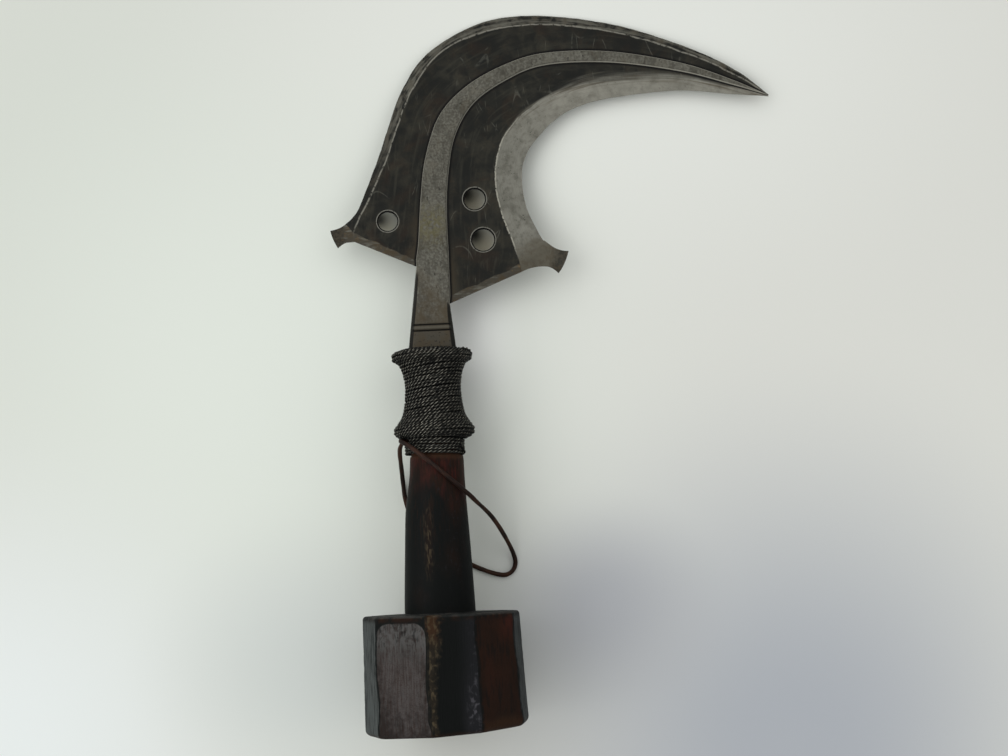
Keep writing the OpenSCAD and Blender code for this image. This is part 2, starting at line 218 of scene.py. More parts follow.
@dataclass
class Shell:
    """Points, faces and marks of one closed mesh."""

    points: Array
    faces: list[tuple[int, ...]]
    marks: dict[str, Array]

    @classmethod
    def welded(cls, patches: Sequence[Patch]) -> "Shell":
        """Joins grids where their points meet.

        Args:
            patches: The grids, which all hold the same marks.

        Returns:
            One open shell without double points.
        """
        points, faces = [], []
        for patch in patches:
            faces += patch.faces(sum(len(p) for p in points))
            points.append(patch.points.reshape(-1, 3))
        every = np.concatenate(points)
        spots = np.round(every, 3)
        _, first, inverse = np.unique(spots, axis=0, return_index=True, return_inverse=True)
        inverse = inverse.reshape(-1)
        corners = (tuple(dict.fromkeys(int(inverse[i]) for i in face)) for face in faces)
        kept = [face for face in corners if len(face) > 2]
        marks = {
            name: np.concatenate([p.marks[name].reshape(-1) for p in patches])[first]
            for name in patches[0].marks
        }
        return cls(every[first], kept, marks)

    def rim(self) -> list[tuple[int, int]]:
        """Edges that only one face has, in that face's order."""
        seen = dict.fromkeys(e for face in self.faces for e in zip(face, face[1:] + face[:1]))
        return [edge for edge in seen if edge[::-1] not in seen]

    def mirrored(self) -> "Shell":
        """Joins the shell and its mirror image under Z = 0 by a wall.

        Returns:
            The closed shell.
        """
        n = len(self.points)
        under = self.points * [1, 1, -1]
        faces = self.faces + [tuple(i + n for i in face[::-1]) for face in self.faces]
        rim = self.rim()
        middle = {a: 2 * n + k for k, a in enumerate(sorted({i for e in rim for i in e}))}
        for a, b in rim:
            faces.append((b, a, middle[a], middle[b]))
            faces.append((middle[b], middle[a], a + n, b + n))
        level = np.array([self.points[i] * [1, 1, 0] for i in middle])
        marks = {k: np.concatenate([v, v, v[list(middle)]]) for k, v in self.marks.items()}
        return Shell(np.concatenate([self.points, under, level]), faces, marks)

    def build(self, name: str, sharp: float) -> bpy.types.Object:
        """Makes the mesh object.

        Args:
            name: Name of the piece.
            sharp: Angle in degrees past which an edge isn't shaded smooth.

        Returns:
            The object, with its marks on the corners of its faces.
        """
        mesh = bpy.data.meshes.new(name)
        mesh.from_pydata(self.points.tolist(), [], self.faces)
        mesh.validate()
        corners = np.zeros(len(mesh.loops), np.int32)
        mesh.loops.foreach_get("vertex_index", corners)
        for mark, values in self.marks.items():
            layer = mesh.attributes.new(mark, "FLOAT", "CORNER")
            layer.data.foreach_set("value", values[corners].astype(np.float32))
        shaded(mesh, sharp)
        return put(name, mesh)


def put(name: str, data: bpy.types.ID) -> bpy.types.Object:
    """Makes an object and puts it in the scene.

    Args:
        name: Name of the object.
        data: Its mesh, curve, camera or lamp.

    Returns:
        The object.
    """
    made = bpy.data.objects.new(name, data)
    bpy.context.scene.collection.objects.link(made)
    return made


def shaded(mesh: bpy.types.Mesh, sharp: float) -> None:
    """Shades a mesh smooth but for edges past an angle in degrees."""
    mesh.shade_smooth()
    mesh.set_sharp_from_angle(angle=math.radians(sharp))


def plain_mesh(live: bpy.types.Object, name: str) -> bpy.types.Mesh:
    """Turns an object and its modifiers into one plain mesh.

    Args:
        live: The object.
        name: Name of the mesh.

    Returns:
        The mesh.
    """
    graph = bpy.context.evaluated_depsgraph_get()
    made = bpy.data.meshes.new_from_object(live.evaluated_get(graph))
    made.name = name
    return made


def bored(piece: bpy.types.Object, cutters: Sequence[bpy.types.Object], sharp: float) -> None:
    """Cuts closed shapes out of a piece and deletes them.

    Args:
        piece: The piece that is cut.
        cutters: The shapes, which don't touch each other.
        sharp: Angle in degrees past which an edge isn't shaded smooth.
    """
    for cutter in cutters:
        cut = piece.modifiers.new("cut", "BOOLEAN")
        cut.operation = "DIFFERENCE"
        cut.solver = "EXACT"
        cut.object = cutter
    mesh = plain_mesh(piece, piece.name)
    shaded(mesh, sharp)
    piece.modifiers.clear()
    piece.data = mesh
    for cutter in cutters:
        bpy.data.objects.remove(cutter)


def turned(name: str, profile: Sequence[Sequence[float]], sides: int) -> bpy.types.Object:
    """A closed round shape about Z.

    Args:
        name: Name of the object.
        profile: Radius and height of each ring, from the lowest up.
        sides: Sides of each ring.

    Returns:
        The object, with flat ends.
    """
    angles = np.arange(sides) * 2 * np.pi / sides
    rings = [[(r * np.cos(a), r * np.sin(a), z) for a in angles] for r, z in profile]
    patch = Patch(np.array(rings), {})
    last = (len(profile) - 1) * sides
    faces = patch.faces(0, around=True)
    faces += [tuple(range(sides))[::-1], tuple(range(last, last + sides))]
    return Shell(patch.points.reshape(-1, 3), faces, {}).build(name, sharp=40)


# Node trees


class Signal:
    """An output socket that works in Python arithmetic."""

    def __init__(self, graph: "Graph", socket: bpy.types.NodeSocket) -> None:
        """Keeps the socket and the graph that it is in."""
        self.graph = graph
        self.socket = socket

    def __add__(self, other: "Signal | float") -> "Signal":
        """Sum."""
        return self.graph.maths("ADD", self, other)

    def __sub__(self, other: "Signal | float") -> "Signal":
        """Difference."""
        return self.graph.maths("SUBTRACT", self, other)

    def __rsub__(self, other: float) -> "Signal":
        """Difference from a number."""
        return self.graph.maths("SUBTRACT", other, self)

    def __mul__(self, other: "Signal | float") -> "Signal":
        """Product."""
        return self.graph.maths("MULTIPLY", self, other)

    def __truediv__(self, other: "Signal | float") -> "Signal":
        """Quotient."""
        return self.graph.maths("DIVIDE", self, other)

    __radd__ = __add__
    __rmul__ = __mul__

    def __abs__(self) -> "Signal":
        """The signal without its sign."""
        return self.graph.maths("ABSOLUTE", self)


Value = Signal | float | int | Sequence[float] | str


class Graph:
    """Builds one tree of shader or geometry nodes."""

    SMOOTH = {"interpolation_type": "SMOOTHSTEP"}

    def __init__(self, tree: bpy.types.NodeTree) -> None:
        """Starts on an empty tree."""
        self.tree = tree
        tree.nodes.clear()

    def node(
        self, kind: str, settings: dict | None = None, values: dict[str | int, Value] | None = None
    ) -> bpy.types.Node:
        """Makes any node.

        Args:
            kind: The node's type.
            settings: Its own settings, set first.
            values: Values or links of its inputs, by name or number.

        Returns:
            The node.
        """
        made = self.tree.nodes.new(kind)
        for name, value in (settings or {}).items():
            setattr(made, name, value)
        for key, value in (values or {}).items():
            if isinstance(value, Signal):
                self.tree.links.new(value.socket, made.inputs[key])
            else:
                made.inputs[key].default_value = value
        return made

    def out(self, node: bpy.types.Node, key: str | int = 0) -> Signal:
        """One output of a node."""
        return Signal(self, node.outputs[key])

    def maths(self, operation: str, *values: Signal | float) -> Signal:
        """A Math node on one to three values."""
        made = self.node("ShaderNodeMath", {"operation": operation}, dict(enumerate(values)))
        return self.out(made)

    def vector(self, operation: str, *values: Value, output: int = 0) -> Signal:
        """A Vector Math node on its values."""
        made = self.node("ShaderNodeVectorMath", {"operation": operation}, dict(enumerate(values)))
        return self.out(made, output)

    def rise(self, value: Signal, low: float, high: float) -> Signal:
        """Smooth rise of a value from 0 at low to 1 at high, which may be the smaller."""
        values = {"Value": value, "From Min": low, "From Max": high}
        return self.out(self.node("ShaderNodeMapRange", self.SMOOTH, values))


class Paint(Graph):
    """Builds the node tree of one material."""

    def __init__(self, name: str, rest: Rest | None = None) -> None:
        """Starts a material.

        Args:
            name: Name of the material.
            rest: The knife's pose, if the pattern lies in the knife's own frame.
        """
        self.material = bpy.data.materials.new(name)
        self.material.use_nodes = True
        super().__init__(self.material.node_tree)
        place = self.out(self.node("ShaderNodeTexCoord"), "Object")
        turn = rest.angle() if rest else 0.0
        self.place = self.mapped(place, (1 / MM,) * 3, (turn, 0.0, 0.0))
        if rest:
            self.place = self.vector("SUBTRACT", self.place, rest.origin().tolist())
        self.made: dict[tuple, Signal] = {}

    def mapped(self, place: Signal, scale: Point, turn: Point = (0.0, 0.0, 0.0)) -> Signal:
        """Coordinates scaled, then turned."""
        values = {"Vector": place, "Scale": scale, "Rotation": turn}
        return self.out(self.node("ShaderNodeMapping", None, values))

    def mark(self, name: str) -> Signal:
        """A number that the mesh carries."""
        return self.out(self.node("ShaderNodeAttribute", {"attribute_name": name}), "Fac")

    def noise(self, place: Signal, detail: float, warp: float = 0.0) -> Signal:
        """Noise from 0 to 1, whose bumps are about one unit wide."""
        values = {"Vector": place, "Scale": 1.0, "Detail": detail, "Distortion": warp}
        return self.out(self.node("ShaderNodeTexNoise", None, values), "Fac")

    def cloud(
        self, size: float, detail: float = 2.0, stretch: Point = (1.0, 1.0, 1.0), warp: float = 0.0
    ) -> Signal:
        """Noise from 0 to 1 in the piece's own place, made once for each set of sizes.

        Args:
            size: Width of its bumps in millimetres.
            detail: Octaves of finer noise in it.
            stretch: How much longer the bumps are along each axis.
            warp: How far the noise distorts itself.

        Returns:
            The noise.
        """
        key = size, detail, stretch, warp
        if key not in self.made:
            scale = tuple(1.0 / (size * s) for s in stretch)
            self.made[key] = self.noise(self.mapped(self.place, scale), detail, warp)
        return self.made[key]

    def patches(self, low: float, high: float, *sizes: float | Point, warp: float = 0.0) -> Signal:
        """Patches where a cloud of some sizes rises from a low to a high level."""
        return self.rise(self.cloud(*sizes, warp=warp), low, high)

    def streaks(self, across: Signal, along: Signal, size: float, length: float) -> Signal:
        """Noise whose bumps of a size and a length lie along a piece, from 0 to 1."""
        place = self.node("ShaderNodeCombineXYZ", None, {"X": across / size, "Y": along / length})
        return self.noise(self.out(place), 3.0)

    def blend(self, share: Signal | float, a: Signal | Colour, b: Signal | Colour) -> Signal:
        """Goes from one colour to another.

        Args:
            share: Share of the second colour, from 0 to 1.
            a: First colour.
            b: Second colour.

        Returns:
            The colour.
        """
        a, b = (v if isinstance(v, Signal) else (*v, 1.0) for v in (a, b))
        settings = {"data_type": "RGBA", "clamp_factor": True}
        return self.out(self.node("ShaderNodeMix", settings, {0: share, 6: a, 7: b}), 2)

    def coats(
        self, colour: Signal | Colour, *coats: tuple[Signal | float, Signal | Colour]
    ) -> Signal:
        """Lays coats of colour over each other.

        Args:
            colour: The lowest colour.
            *coats: The share and the colour of each coat, from the lowest up.

        Returns:
            The colour on top.
        """
        for share, other in coats:
            colour = self.blend(share, colour, other)
        return colour

    def raised(self, height: Signal, depth: float) -> Signal:
        """Normal of a surface with a height from 0 to 1 and a depth in millimetres."""
        values = {"Height": height, "Strength": 1.0, "Distance": depth * MM}
        return self.out(self.node("ShaderNodeBump", None, values))

    def surface(
        self, colour: Signal, rough: Signal, normal: Signal, constants: dict[str, float]
    ) -> bpy.types.Material:
        """Ends the tree in one Principled surface.

        Args:
            colour: Base colour.
            rough: Roughness.
            normal: Normal from a Bump node.
            constants: Other sockets of the shader that hold one number each.

        Returns:
            The material.
        """
        values = {"Base Color": colour, "Roughness": rough, "Normal": normal, **constants}
        shader = self.node("ShaderNodeBsdfPrincipled", None, values)
        self.node("ShaderNodeOutputMaterial", None, {"Surface": self.out(shader)})
        return self.material


# Finishes


@dataclass(frozen=True)
class ForgedIron:
    """Blackened forged plate with a scraped rib and ground bevels.

    length is the blade's along its curve, neck_side how wide the painted shade on the neck's
    sides is, and tarnish the centre and the reach of one yellowish spot on the rib.
    """

    black: Colour = (0.0098, 0.0102, 0.0088)
    worn_black: Colour = (0.038, 0.036, 0.027)
    grey: Colour = (0.15, 0.147, 0.122)
    bright: Colour = (0.22, 0.214, 0.182)
    shine: Colour = (0.36, 0.345, 0.29)
    dull: Colour = (0.062, 0.056, 0.044)
    rust: Colour = (0.062, 0.047, 0.028)
    russet: Colour = (0.034, 0.02, 0.012)
    ochre: Colour = (0.15, 0.095, 0.04)
    tarnished: Colour = (0.11, 0.098, 0.048)
    stained: Colour = (0.088, 0.078, 0.056)
    # near black: dirt in pits and specks, and painted shade at the rib's foot, in the incised lines
    # and on the neck's sides
    dirt_and_shade: Colour = (0.004, 0.0036, 0.0032)
    length: float = 300.0
    neck_side: float = 2.2
    tarnish: tuple[float, float, float] = (0.5, 62.0, 14.0)

    @staticmethod
    def noises(p: Paint) -> tuple[Signal, Signal, Signal]:
        """Noise a palm, a finger and a pinhead wide."""
        return p.cloud(24, 3), p.cloud(5.5, 4, warp=0.4), p.cloud(1.1, 3)

    def material(self, rest: Rest, holes: "Sequence[Hole]") -> bpy.types.Material:
        """Builds the material from the marks of the blade's mesh.

        Args:
            rest: The knife's pose, which the pattern follows.
            holes: The blade's bores, each darker on its chamfer and with a thin bright ring round
                it, partly wear and partly painted highlight.

        Returns:
            The material.
        """
        p = Paint("forged_iron", rest)
        _, mottle, fine = self.noises(p)
        rib, inner, outer, foot = (p.mark(name) for name in ("rib", "inner", "outer", "foot"))
        along, spur, groove = (p.mark(name) for name in ("along", "spur", "groove"))
        stray, speck = mottle - 0.5, fine - 0.5
        wander = stray * 1.3 + speck * 0.7
        loose = p.rise(along, 0.42, 0.72)
        neck = p.rise(along + stray * 0.3, -0.45, -0.8)
        on_rib = p.rise(rib, 0.12, -0.12)
        on_outer = p.rise(outer + wander * 0.4, 0.2, -0.3)
        blur = wander * 0.35 + (p.streaks(inner, along * self.length, 2.6, 34) - 0.5) * loose * 9
        on_inner = p.rise(inner + blur, 0.25 + 3.0 * loose, -0.35 - 2.5 * loose)
        on_foot = p.rise(foot + wander * 0.8 + (p.cloud(7, 2) - 0.5) * 2.6, 0.3, -0.4)
        rusty = p.rise(rib + stray * 9, 7, 1) * p.rise(foot + stray * 12, 32, 8)
        worn_spur = p.coats(
            self.dull,
            (p.rise(mottle, 0.3, 0.65), self.rust),
            (0.25 + p.rise(fine, 0.35, 0.65) * 0.6, self.black),
        )
        shine = self.ridges(p, wander, loose)
        # painted highlight along both edges of the rib
        rib_edge_highlight = self.line(p, rib + 0.3, 0.32) * (1 - neck * 0.6) * 0.85
        # painted shade on the neck's two sides
        neck_side = p.rise(rib, -self.neck_side, 0.5 - self.neck_side) * p.rise(along, -0.02, -0.12)
        made = p.coats(
            self.plate(p),
            (rusty * 0.5, self.rust),
            (on_outer, self.outer_edge(p)),
            (on_inner, self.ground(p, loose)),
            (on_foot * (1 - on_inner), self.filed_foot(p)),
            (p.rise(spur + stray * 0.8, -0.1, 0.6) * 0.8, worn_spur),
            (on_rib, self.scraped(p, neck)),
            # bright ridge lines, and the painted highlight on the rib's edges
            (p.maths("MAXIMUM", shine, rib_edge_highlight), self.shine),
            # painted shade along the foot of the rib, with some dirt
            (p.rise(rib + speck * 0.5, 1.5, 0.45) * (1 - on_rib), self.dirt_and_shade),
            # painted shade on the neck's sides
            (neck_side * 0.9, self.dirt_and_shade),
        )
        for hole in holes:
            edge = self.away(p, *hole.at) - hole.wide / 2
            # darker band on the chamfer, and a thin bright ring at its outer edge, partly wear and
            # partly painted highlight
            ring = p.rise(abs(edge - 0.85), 0.3, 0.14) * p.rise(fine, 0.25, 0.5)
            darker_chamfer = p.rise(edge, 1.15, 0.75)
            made = p.coats(made, (darker_chamfer, self.dirt_and_shade), (ring * 0.8, self.bright))
        made = p.coats(
            made,
            # painted shade in the neck's two incised lines
            (p.rise(groove, 0.3, 0.9), self.dirt_and_shade),
            (p.rise(groove, -0.06, -0.3) * 0.25, self.grey),
        )
        rough = 0.6 + 0.12 * mottle - 0.1 * p.maths("MAXIMUM", on_inner, on_rib)
        normal = p.raised(fine * 0.35 + p.cloud(0.45, 2) * 0.2 + mottle * 0.45, 0.12)
        return p.surface(made, rough, normal, {"Metallic": 0.4, "Specular IOR Level": 0.22})

    def ridges(self, p: Paint, wander: Signal, loose: Signal) -> Signal:
        """Share of the bright broken lines on the two bevels' ridges.

        Args:
            p: The material's tree.
            wander: How far a line strays, in millimetres.
            loose: Rises from 0 to 1 where the inner ridge fades out.

        Returns:
            The share.
        """
        outer = p.mark("outer") + wander * 0.4 + (p.cloud(8.0, 1) - 0.5) * 1.3
        outer_line = self.line(p, outer, 0.6) * p.rise(p.mark("along"), 0.0, 0.1)
        inner_line = self.line(p, p.mark("inner") + wander * 0.8, 0.5) * (1 - loose)
        inner_line = inner_line * p.rise(p.mark("foot"), 2, 14) * 0.9
        return p.maths("MAXIMUM", outer_line * 0.5, inner_line) * p.patches(0.3, 0.5, 1.6, 3)

    def plate(self, p: Paint) -> Signal:
        """Paints the blackened plate: clouds, stains, soft streaks and scuffs.

        Args:
            p: The material's tree.

        Returns:
            The colour.
        """
        broad, mottle, _ = self.noises(p)
        smear = p.streaks(p.mark("rib"), p.mark("along") * self.length, 1.9, 24)
        return p.coats(
            self.black,
            (p.rise(broad, 0.34, 0.7) * p.rise(mottle, 0.25, 0.75), self.worn_black),
            (p.patches(0.48, 0.72, 15, 3, warp=1.0) * 0.4, self.russet),
            (p.rise(smear, 0.5, 0.72) * 0.55, self.worn_black),
            (self.scuffs(p) * 0.3, self.grey),
        )

    def outer_edge(self, p: Paint) -> Signal:
        """Paints the narrow bevel: black low down, rubbed on the blade's back.

        Args:
            p: The material's tree.

        Returns:
            The colour.
        """
        _, mottle, _ = self.noises(p)
        along = p.mark("along")
        crest = p.rise(along + (mottle - 0.5) * 0.12, 0.2, 0.42)
        streak = p.streaks(p.mark("outer"), along * self.length, 1.4, 14)
        worn = p.rise(p.cloud(2.6, 4, warp=0.5) * 0.5 + streak * 0.5, 0.38, 0.6)
        return p.coats(
            self.black,
            (worn * (0.2 + 0.8 * crest), self.dull),
            (crest * p.rise(mottle + streak, 0.85, 1.2) * 0.65, self.grey),
            (p.rise(mottle, 0.5, 0.75) * crest * 0.6, self.rust),
        )

    def ground(self, p: Paint, loose: Signal) -> Signal:
        """Colour of the wide bevel, ground bright along its length, with specks and stains.

        Args:
            p: The material's tree.
            loose: Rises from 0 to 1 towards the blade's tip.

        Returns:
            The colour.
        """
        broad, mottle, fine = self.noises(p)
        inner, length = p.mark("inner"), p.mark("along") * self.length
        specks = p.patches(0.63, 0.72, 0.8, 3) * p.rise(broad + mottle, 0.85, 1.15)
        brown = p.rise(p.streaks(inner, length, 1.3, 22), 0.42, 0.66) * loose
        low_down = p.rise(p.mark("foot") + (mottle - 0.5) * 18 + (fine - 0.5) * 6, 13, 0)
        low_down = p.maths("MAXIMUM", low_down, p.rise(p.mark("spur"), 0.0, 0.03))
        smutty = p.blend(p.patches(0.42, 0.6, 3.0, 4, warp=0.5) * 0.7, self.stained, self.rust)
        return p.coats(
            self.bright,
            (p.rise(broad, 0.3, 0.75) * 0.6, self.grey),
            (p.rise(p.streaks(inner, length, 0.6, 7), 0.4, 0.7) * 0.2, self.dull),
            (p.rise(mottle, 0.4, 0.7) * 0.6, self.grey),
            (p.patches(0.48, 0.7, 2.2, 4) * 0.34, self.dull),
            (specks * 0.8, self.dirt_and_shade),
            (loose * 0.3, self.shine),
            (brown * p.rise(inner, -5.5, -1.0) * 0.7, self.rust),
            (low_down * 0.85, smutty),
        )

    def filed_foot(self, p: Paint) -> Signal:
        """Paints the wings' lower bevels: rusty, filed across, ochre in spots.

        Args:
            p: The material's tree.

        Returns:
            The colour.
        """
        return p.coats(
            self.rust,
            (p.rise(self.noises(p)[1], 0.3, 0.62), self.dull),
            (p.patches(0.5, 0.7, 1.3, 4, (5, 1, 1)) * 0.7, self.grey),
            (p.patches(0.6, 0.72, 1.8, 3) * 0.6, self.ochre),
        )

    def scraped(self, p: Paint, neck: Signal) -> Signal:
        """Colour of the rib's and the neck's faces, scraped clean and pitted.

        Args:
            p: The material's tree.
            neck: Rises from 0 to 1 down the neck, which is brown.

        Returns:
            The colour.
        """
        broad, mottle, fine = self.noises(p)
        x, y, reach = self.tarnish
        spot = p.rise(self.away(p, x, y) + (mottle - 0.5) * 14, reach, 0.25 * reach)
        pits = p.patches(0.6, 0.7, 1.5, 4, (1, 1.6, 1), warp=0.6) * p.rise(broad, 0.35, 0.6)
        low = p.rise(p.mark("along"), 0.1, -0.3) * p.rise(broad + mottle, 0.7, 1.2)
        brown = p.coats(
            self.rust,
            (p.rise(mottle, 0.3, 0.7), self.dull),
            (p.rise(fine, 0.55, 0.72) * 0.6, self.dirt_and_shade),
        )
        return p.coats(
            self.dull,
            (0.08 + 0.8 * p.rise(fine + (mottle - 0.5) * 0.5, 0.3, 0.7), self.grey),
            (p.rise(broad, 0.4, 0.7) * 0.2, self.bright),
            (p.patches(0.5, 0.68, 3.6, 3, (1, 2.2, 1), warp=0.8) * 0.5, self.worn_black),
            (p.patches(0.5, 0.68, 1.1, 3, (1, 4, 1), warp=0.3) * 0.4, self.dull),
            (pits * 0.7, self.dirt_and_shade),
            (p.rise(mottle, 0.45, 0.75) * 0.4, self.rust),
            (spot * p.patches(0.3, 0.6, 1.6, 3) * 0.75, self.tarnished),
            (low * 0.8, self.rust),
            (neck * 0.9, brown),
        )

    def scuffs(self, p: Paint) -> Signal:
        """Draws thin pale scratches that bend and cross on the plate.

        Args:
            p: The material's tree.

        Returns:
            Their share.
        """
        made = None
        for turn, size in ((0.7, 14.0), (-0.9, 19.0), (-0.3, 24.0)):
            place = p.mapped(p.place, (1 / size, 1 / (3 * size), 1 / size), (0.0, 0.0, turn))
            line = self.line(p, (p.noise(place, 0.0) - 0.46) * (1.6 * size), 0.2)
            made = p.maths("MAXIMUM", made, line) if made else line
        return made * (p.patches(0.52, 0.62, 12, 1) * p.patches(0.3, 0.55, 2.5, 2))

    @staticmethod
    def line(p: Paint, distance: Signal, width: float) -> Signal:
        """A line where a distance is zero, and how wide it is to either side."""
        return p.rise(abs(distance), width, 0.2 * width)

    @staticmethod
    def away(p: Paint, x: float, y: float) -> Signal:
        """Distance over the plate from a point of it, in millimetres."""
        flat = p.vector("MULTIPLY", p.place, (1.0, 1.0, 0.0))
        return p.vector("DISTANCE", flat, (x, y, 0.0), output=1)


@dataclass(frozen=True)
class HewnWood:
    """Dark hardwood, polished on the grip and worn on the pommel, with painted sheen and glints."""

    black: Colour = (0.0053, 0.006, 0.0058)
    brown: Colour = (0.021, 0.0095, 0.0058)
    red: Colour = (0.052, 0.0128, 0.0092)
    gold: Colour = (0.078, 0.06, 0.036)
    amber: Colour = (0.044, 0.0215, 0.0105)
    olive: Colour = (0.021, 0.0165, 0.0115)
    # painted sheen of the pommel's side facets
    slate_sheen: Colour = (0.06, 0.067, 0.066)
    # scratches and painted glints on the black facet
    scuffed_and_glinting: Colour = (0.06, 0.058, 0.065)
    worn: Colour = (0.064, 0.056, 0.054)
    dusty: Colour = (0.023, 0.0195, 0.0185)
    pale_grey: Colour = (0.06, 0.065, 0.063)
    # blue black of painted sheen on the grip and painted glints on the black facet
    blue_black: Colour = (0.016, 0.016, 0.0185)
    chalk_and_sheen: Colour = (0.092, 0.09, 0.087)

    @staticmethod
    def noises(p: Paint) -> tuple[Signal, Signal, Signal, Signal]:
        """Grain and finer fibre along the wood, and noise a palm and a finger wide."""
        grain, fibre = p.cloud(0.8, 4, (1, 16, 1)), p.cloud(0.35, 2, (1, 22, 1))
        return grain, fibre, p.cloud(13, 3, (1, 2.2, 1)), p.cloud(2.6, 4)

    def material(self, rest: Rest) -> bpy.types.Material:
        """Builds the material from the marks of the handle's mesh.

        Args:
            rest: The knife's pose, which the grain follows.

        Returns:
            The material.
        """
        p = Paint("hewn_wood", rest)
        grain, fibre, patch, spots = self.noises(p)
        rim, place, stray = p.mark("rim"), p.mark("place"), spots - 0.5
        wander = stray * 2.2
        on_pommel = p.rise(place, -130.4, -130.9)
        on_shaved = p.rise(p.mark("shaved") + wander * 0.5, 0.2, -0.4)
        near_rim = p.rise(rim + wander, 3.2, 0.8) * on_pommel
        rubbed = p.coats(
            self.black,
            (p.rise(patch + stray * 0.6, 0.4, 0.65), self.brown),
            (p.rise(spots, 0.6, 0.7) * 0.5, self.amber),
        )
        splint = p.rise(p.mark("splint") + stray * 0.9, 0.2, 0.8)
        fleck = p.rise(p.cloud(1.5, 5, (1, 2.4, 1), warp=0.6) + stray * 0.4, 0.48, 0.7)
        outline = p.rise(p.mark("arris") + wander * 0.2, 1.1, 0.5) * on_pommel
        front = p.rise(place, -132.4, -131.4) * on_pommel * p.rise(patch + stray * 0.5, 0.2, 0.75)
        made = p.coats(
            self.grip(p),
            (on_pommel, self.facets(p)),
            (near_rim * 0.8, rubbed),
            (splint * 0.8, p.blend(p.rise(rim, 16, 5), self.olive, self.amber)),
            (splint * fleck * 0.7, self.gold),
            (outline * p.rise(spots, 0.3, 0.55) * 0.85, self.black),
            (front * 0.6, self.pale_grey),
            (p.rise(p.mark("heel") + wander, 2.6, 0.4) * 0.5, self.brown),
            (on_shaved, self.shaved(p)),
            (p.rise(place, -47.6, -46.6), self.black),
        )
        rough = 0.46 + 0.16 * spots + 0.25 * on_shaved + 0.06 * on_pommel
        height = grain * 0.6 + fibre * 0.25 + spots * 0.15
        normal = p.raised(height * (0.35 + 0.65 * on_pommel), 0.35)
        return p.surface(made, rough, normal, {"Specular IOR Level": 0.05})

    def shaved(self, p: Paint) -> Signal:
        """Paints the grey shaved field: dusty and woven, lighter at its top with chalky dust and
        painted sheen.

        Args:
            p: The material's tree.

        Returns:
            The colour.
        """
        grain, fibre, patch, spots = self.noises(p)
        rim = p.mark("rim")
        hewn = p.patches(0.54, 0.66, 1.7, 3, (1, 3, 1), warp=0.8) * p.rise(rim, 24, 6)
        chalk_and_sheen_spots = p.rise(spots + (fibre - 0.5) * 0.5, 0.3, 0.62)
        return p.coats(
            self.worn,
            (p.rise(patch + (spots - 0.5) * 0.5, 0.32, 0.68), self.dusty),
            (p.rise(grain, 0.42, 0.72) * 0.5, self.brown),
            (p.patches(0.48, 0.7, 0.5, 2, (7, 1, 1)) * 0.35, self.brown),
            # lighter top: chalky dust and painted sheen
            (p.rise(rim, 26, 8) * chalk_and_sheen_spots * 0.75, self.chalk_and_sheen),
            (hewn * 0.65, self.black),
            (p.rise(fibre, 0.55, 0.75) * 0.35, self.pale_grey),
        )

    def grip(self, p: Paint) -> Signal:
        """Paints the polished grip: black, red under the collar, one worn streak, and blue patches
        of painted sheen.

        Args:
            p: The material's tree.

        Returns:
            The colour.
        """
        grain, _, patch, _ = self.noises(p)
        place, streak = p.mark("place"), p.mark("streak")
        head = p.rise(place + 44 * (patch - 0.5), -78, -58)
        warm = p.coats(
            self.brown,
            (p.patches(0.42, 0.66, 3.2, 3, (1, 3, 1)), self.red),
            (p.rise(grain, 0.4, 0.7) * 0.5, self.black),
        )
        drawn = p.patches(0.52, 0.7, 1.0, 4, (1, 11, 1), warp=0.3) * p.rise(place, -112, -80)
        # blue patches of painted sheen
        rubbed = p.patches(0.58, 0.7, 1.1, 4, (1, 2.2, 1), warp=0.6) * p.rise(patch, 0.45, 0.62)
        fleck = p.patches(0.5, 0.64, 0.75, 4, (1, 5, 1), warp=0.5)
        return p.coats(
            self.black,
            (p.rise(patch, 0.5, 0.8) * 0.4, self.brown),
            (head * 0.8, warm),
            (p.rise(place + 5 * (patch - 0.5), -57, -54.8) * 0.6, self.amber),
            (drawn * 0.45, self.brown),
            (rubbed * 0.5, self.blue_black),
            (streak * 0.4, self.brown),
            (streak * fleck * 0.6, self.gold),
        )

    def facets(self, p: Paint) -> Signal:
        """Paints the pommel's facets: stain 0 is black, 1 red and 2 grey, a painted sheen.

        Args:
            p: The material's tree.

        Returns:
            The colour.
        """
        stray = self.noises(p)[2] - 0.5
        stain, scuff, glow = p.mark("stain"), p.mark("scuff"), p.mark("glow") + stray * 0.5
        red = p.coats(
            self.black,
            (p.rise(glow, 0.1, 0.5), self.brown),
            (p.rise(glow, 0.35, 1.0), self.red),
            (p.patches(0.5, 0.68, 1.7, 4, (1, 6, 1), warp=0.4) * 0.5, self.black),
            (p.rise(p.mark("heel") + stray * 14, 7, 1) * 0.5, self.amber),
        )
        flecks = p.rise(p.cloud(2.0, 5, (1, 1.6, 1), warp=0.5) + scuff * 0.16, 0.6, 0.8)
        # grey painted sheen of the steep side facets
        grey = p.blend(p.patches(0.44, 0.64, 1.6, 4, (1, 7, 1)) * 0.75, self.slate_sheen, self.black)
        return p.coats(
            self.black,
            # scratches, and painted blue glints towards the black facet's lower end
            (p.rise(scuff, 0.0, 0.7) * 0.7, self.blue_black),
            (flecks * p.rise(scuff, 0.3, 0.9), self.scuffed_and_glinting),
            (p.rise(stain, 0.3, 0.9), red),
            (p.rise(stain, 1.2, 2.0), grey),
        )


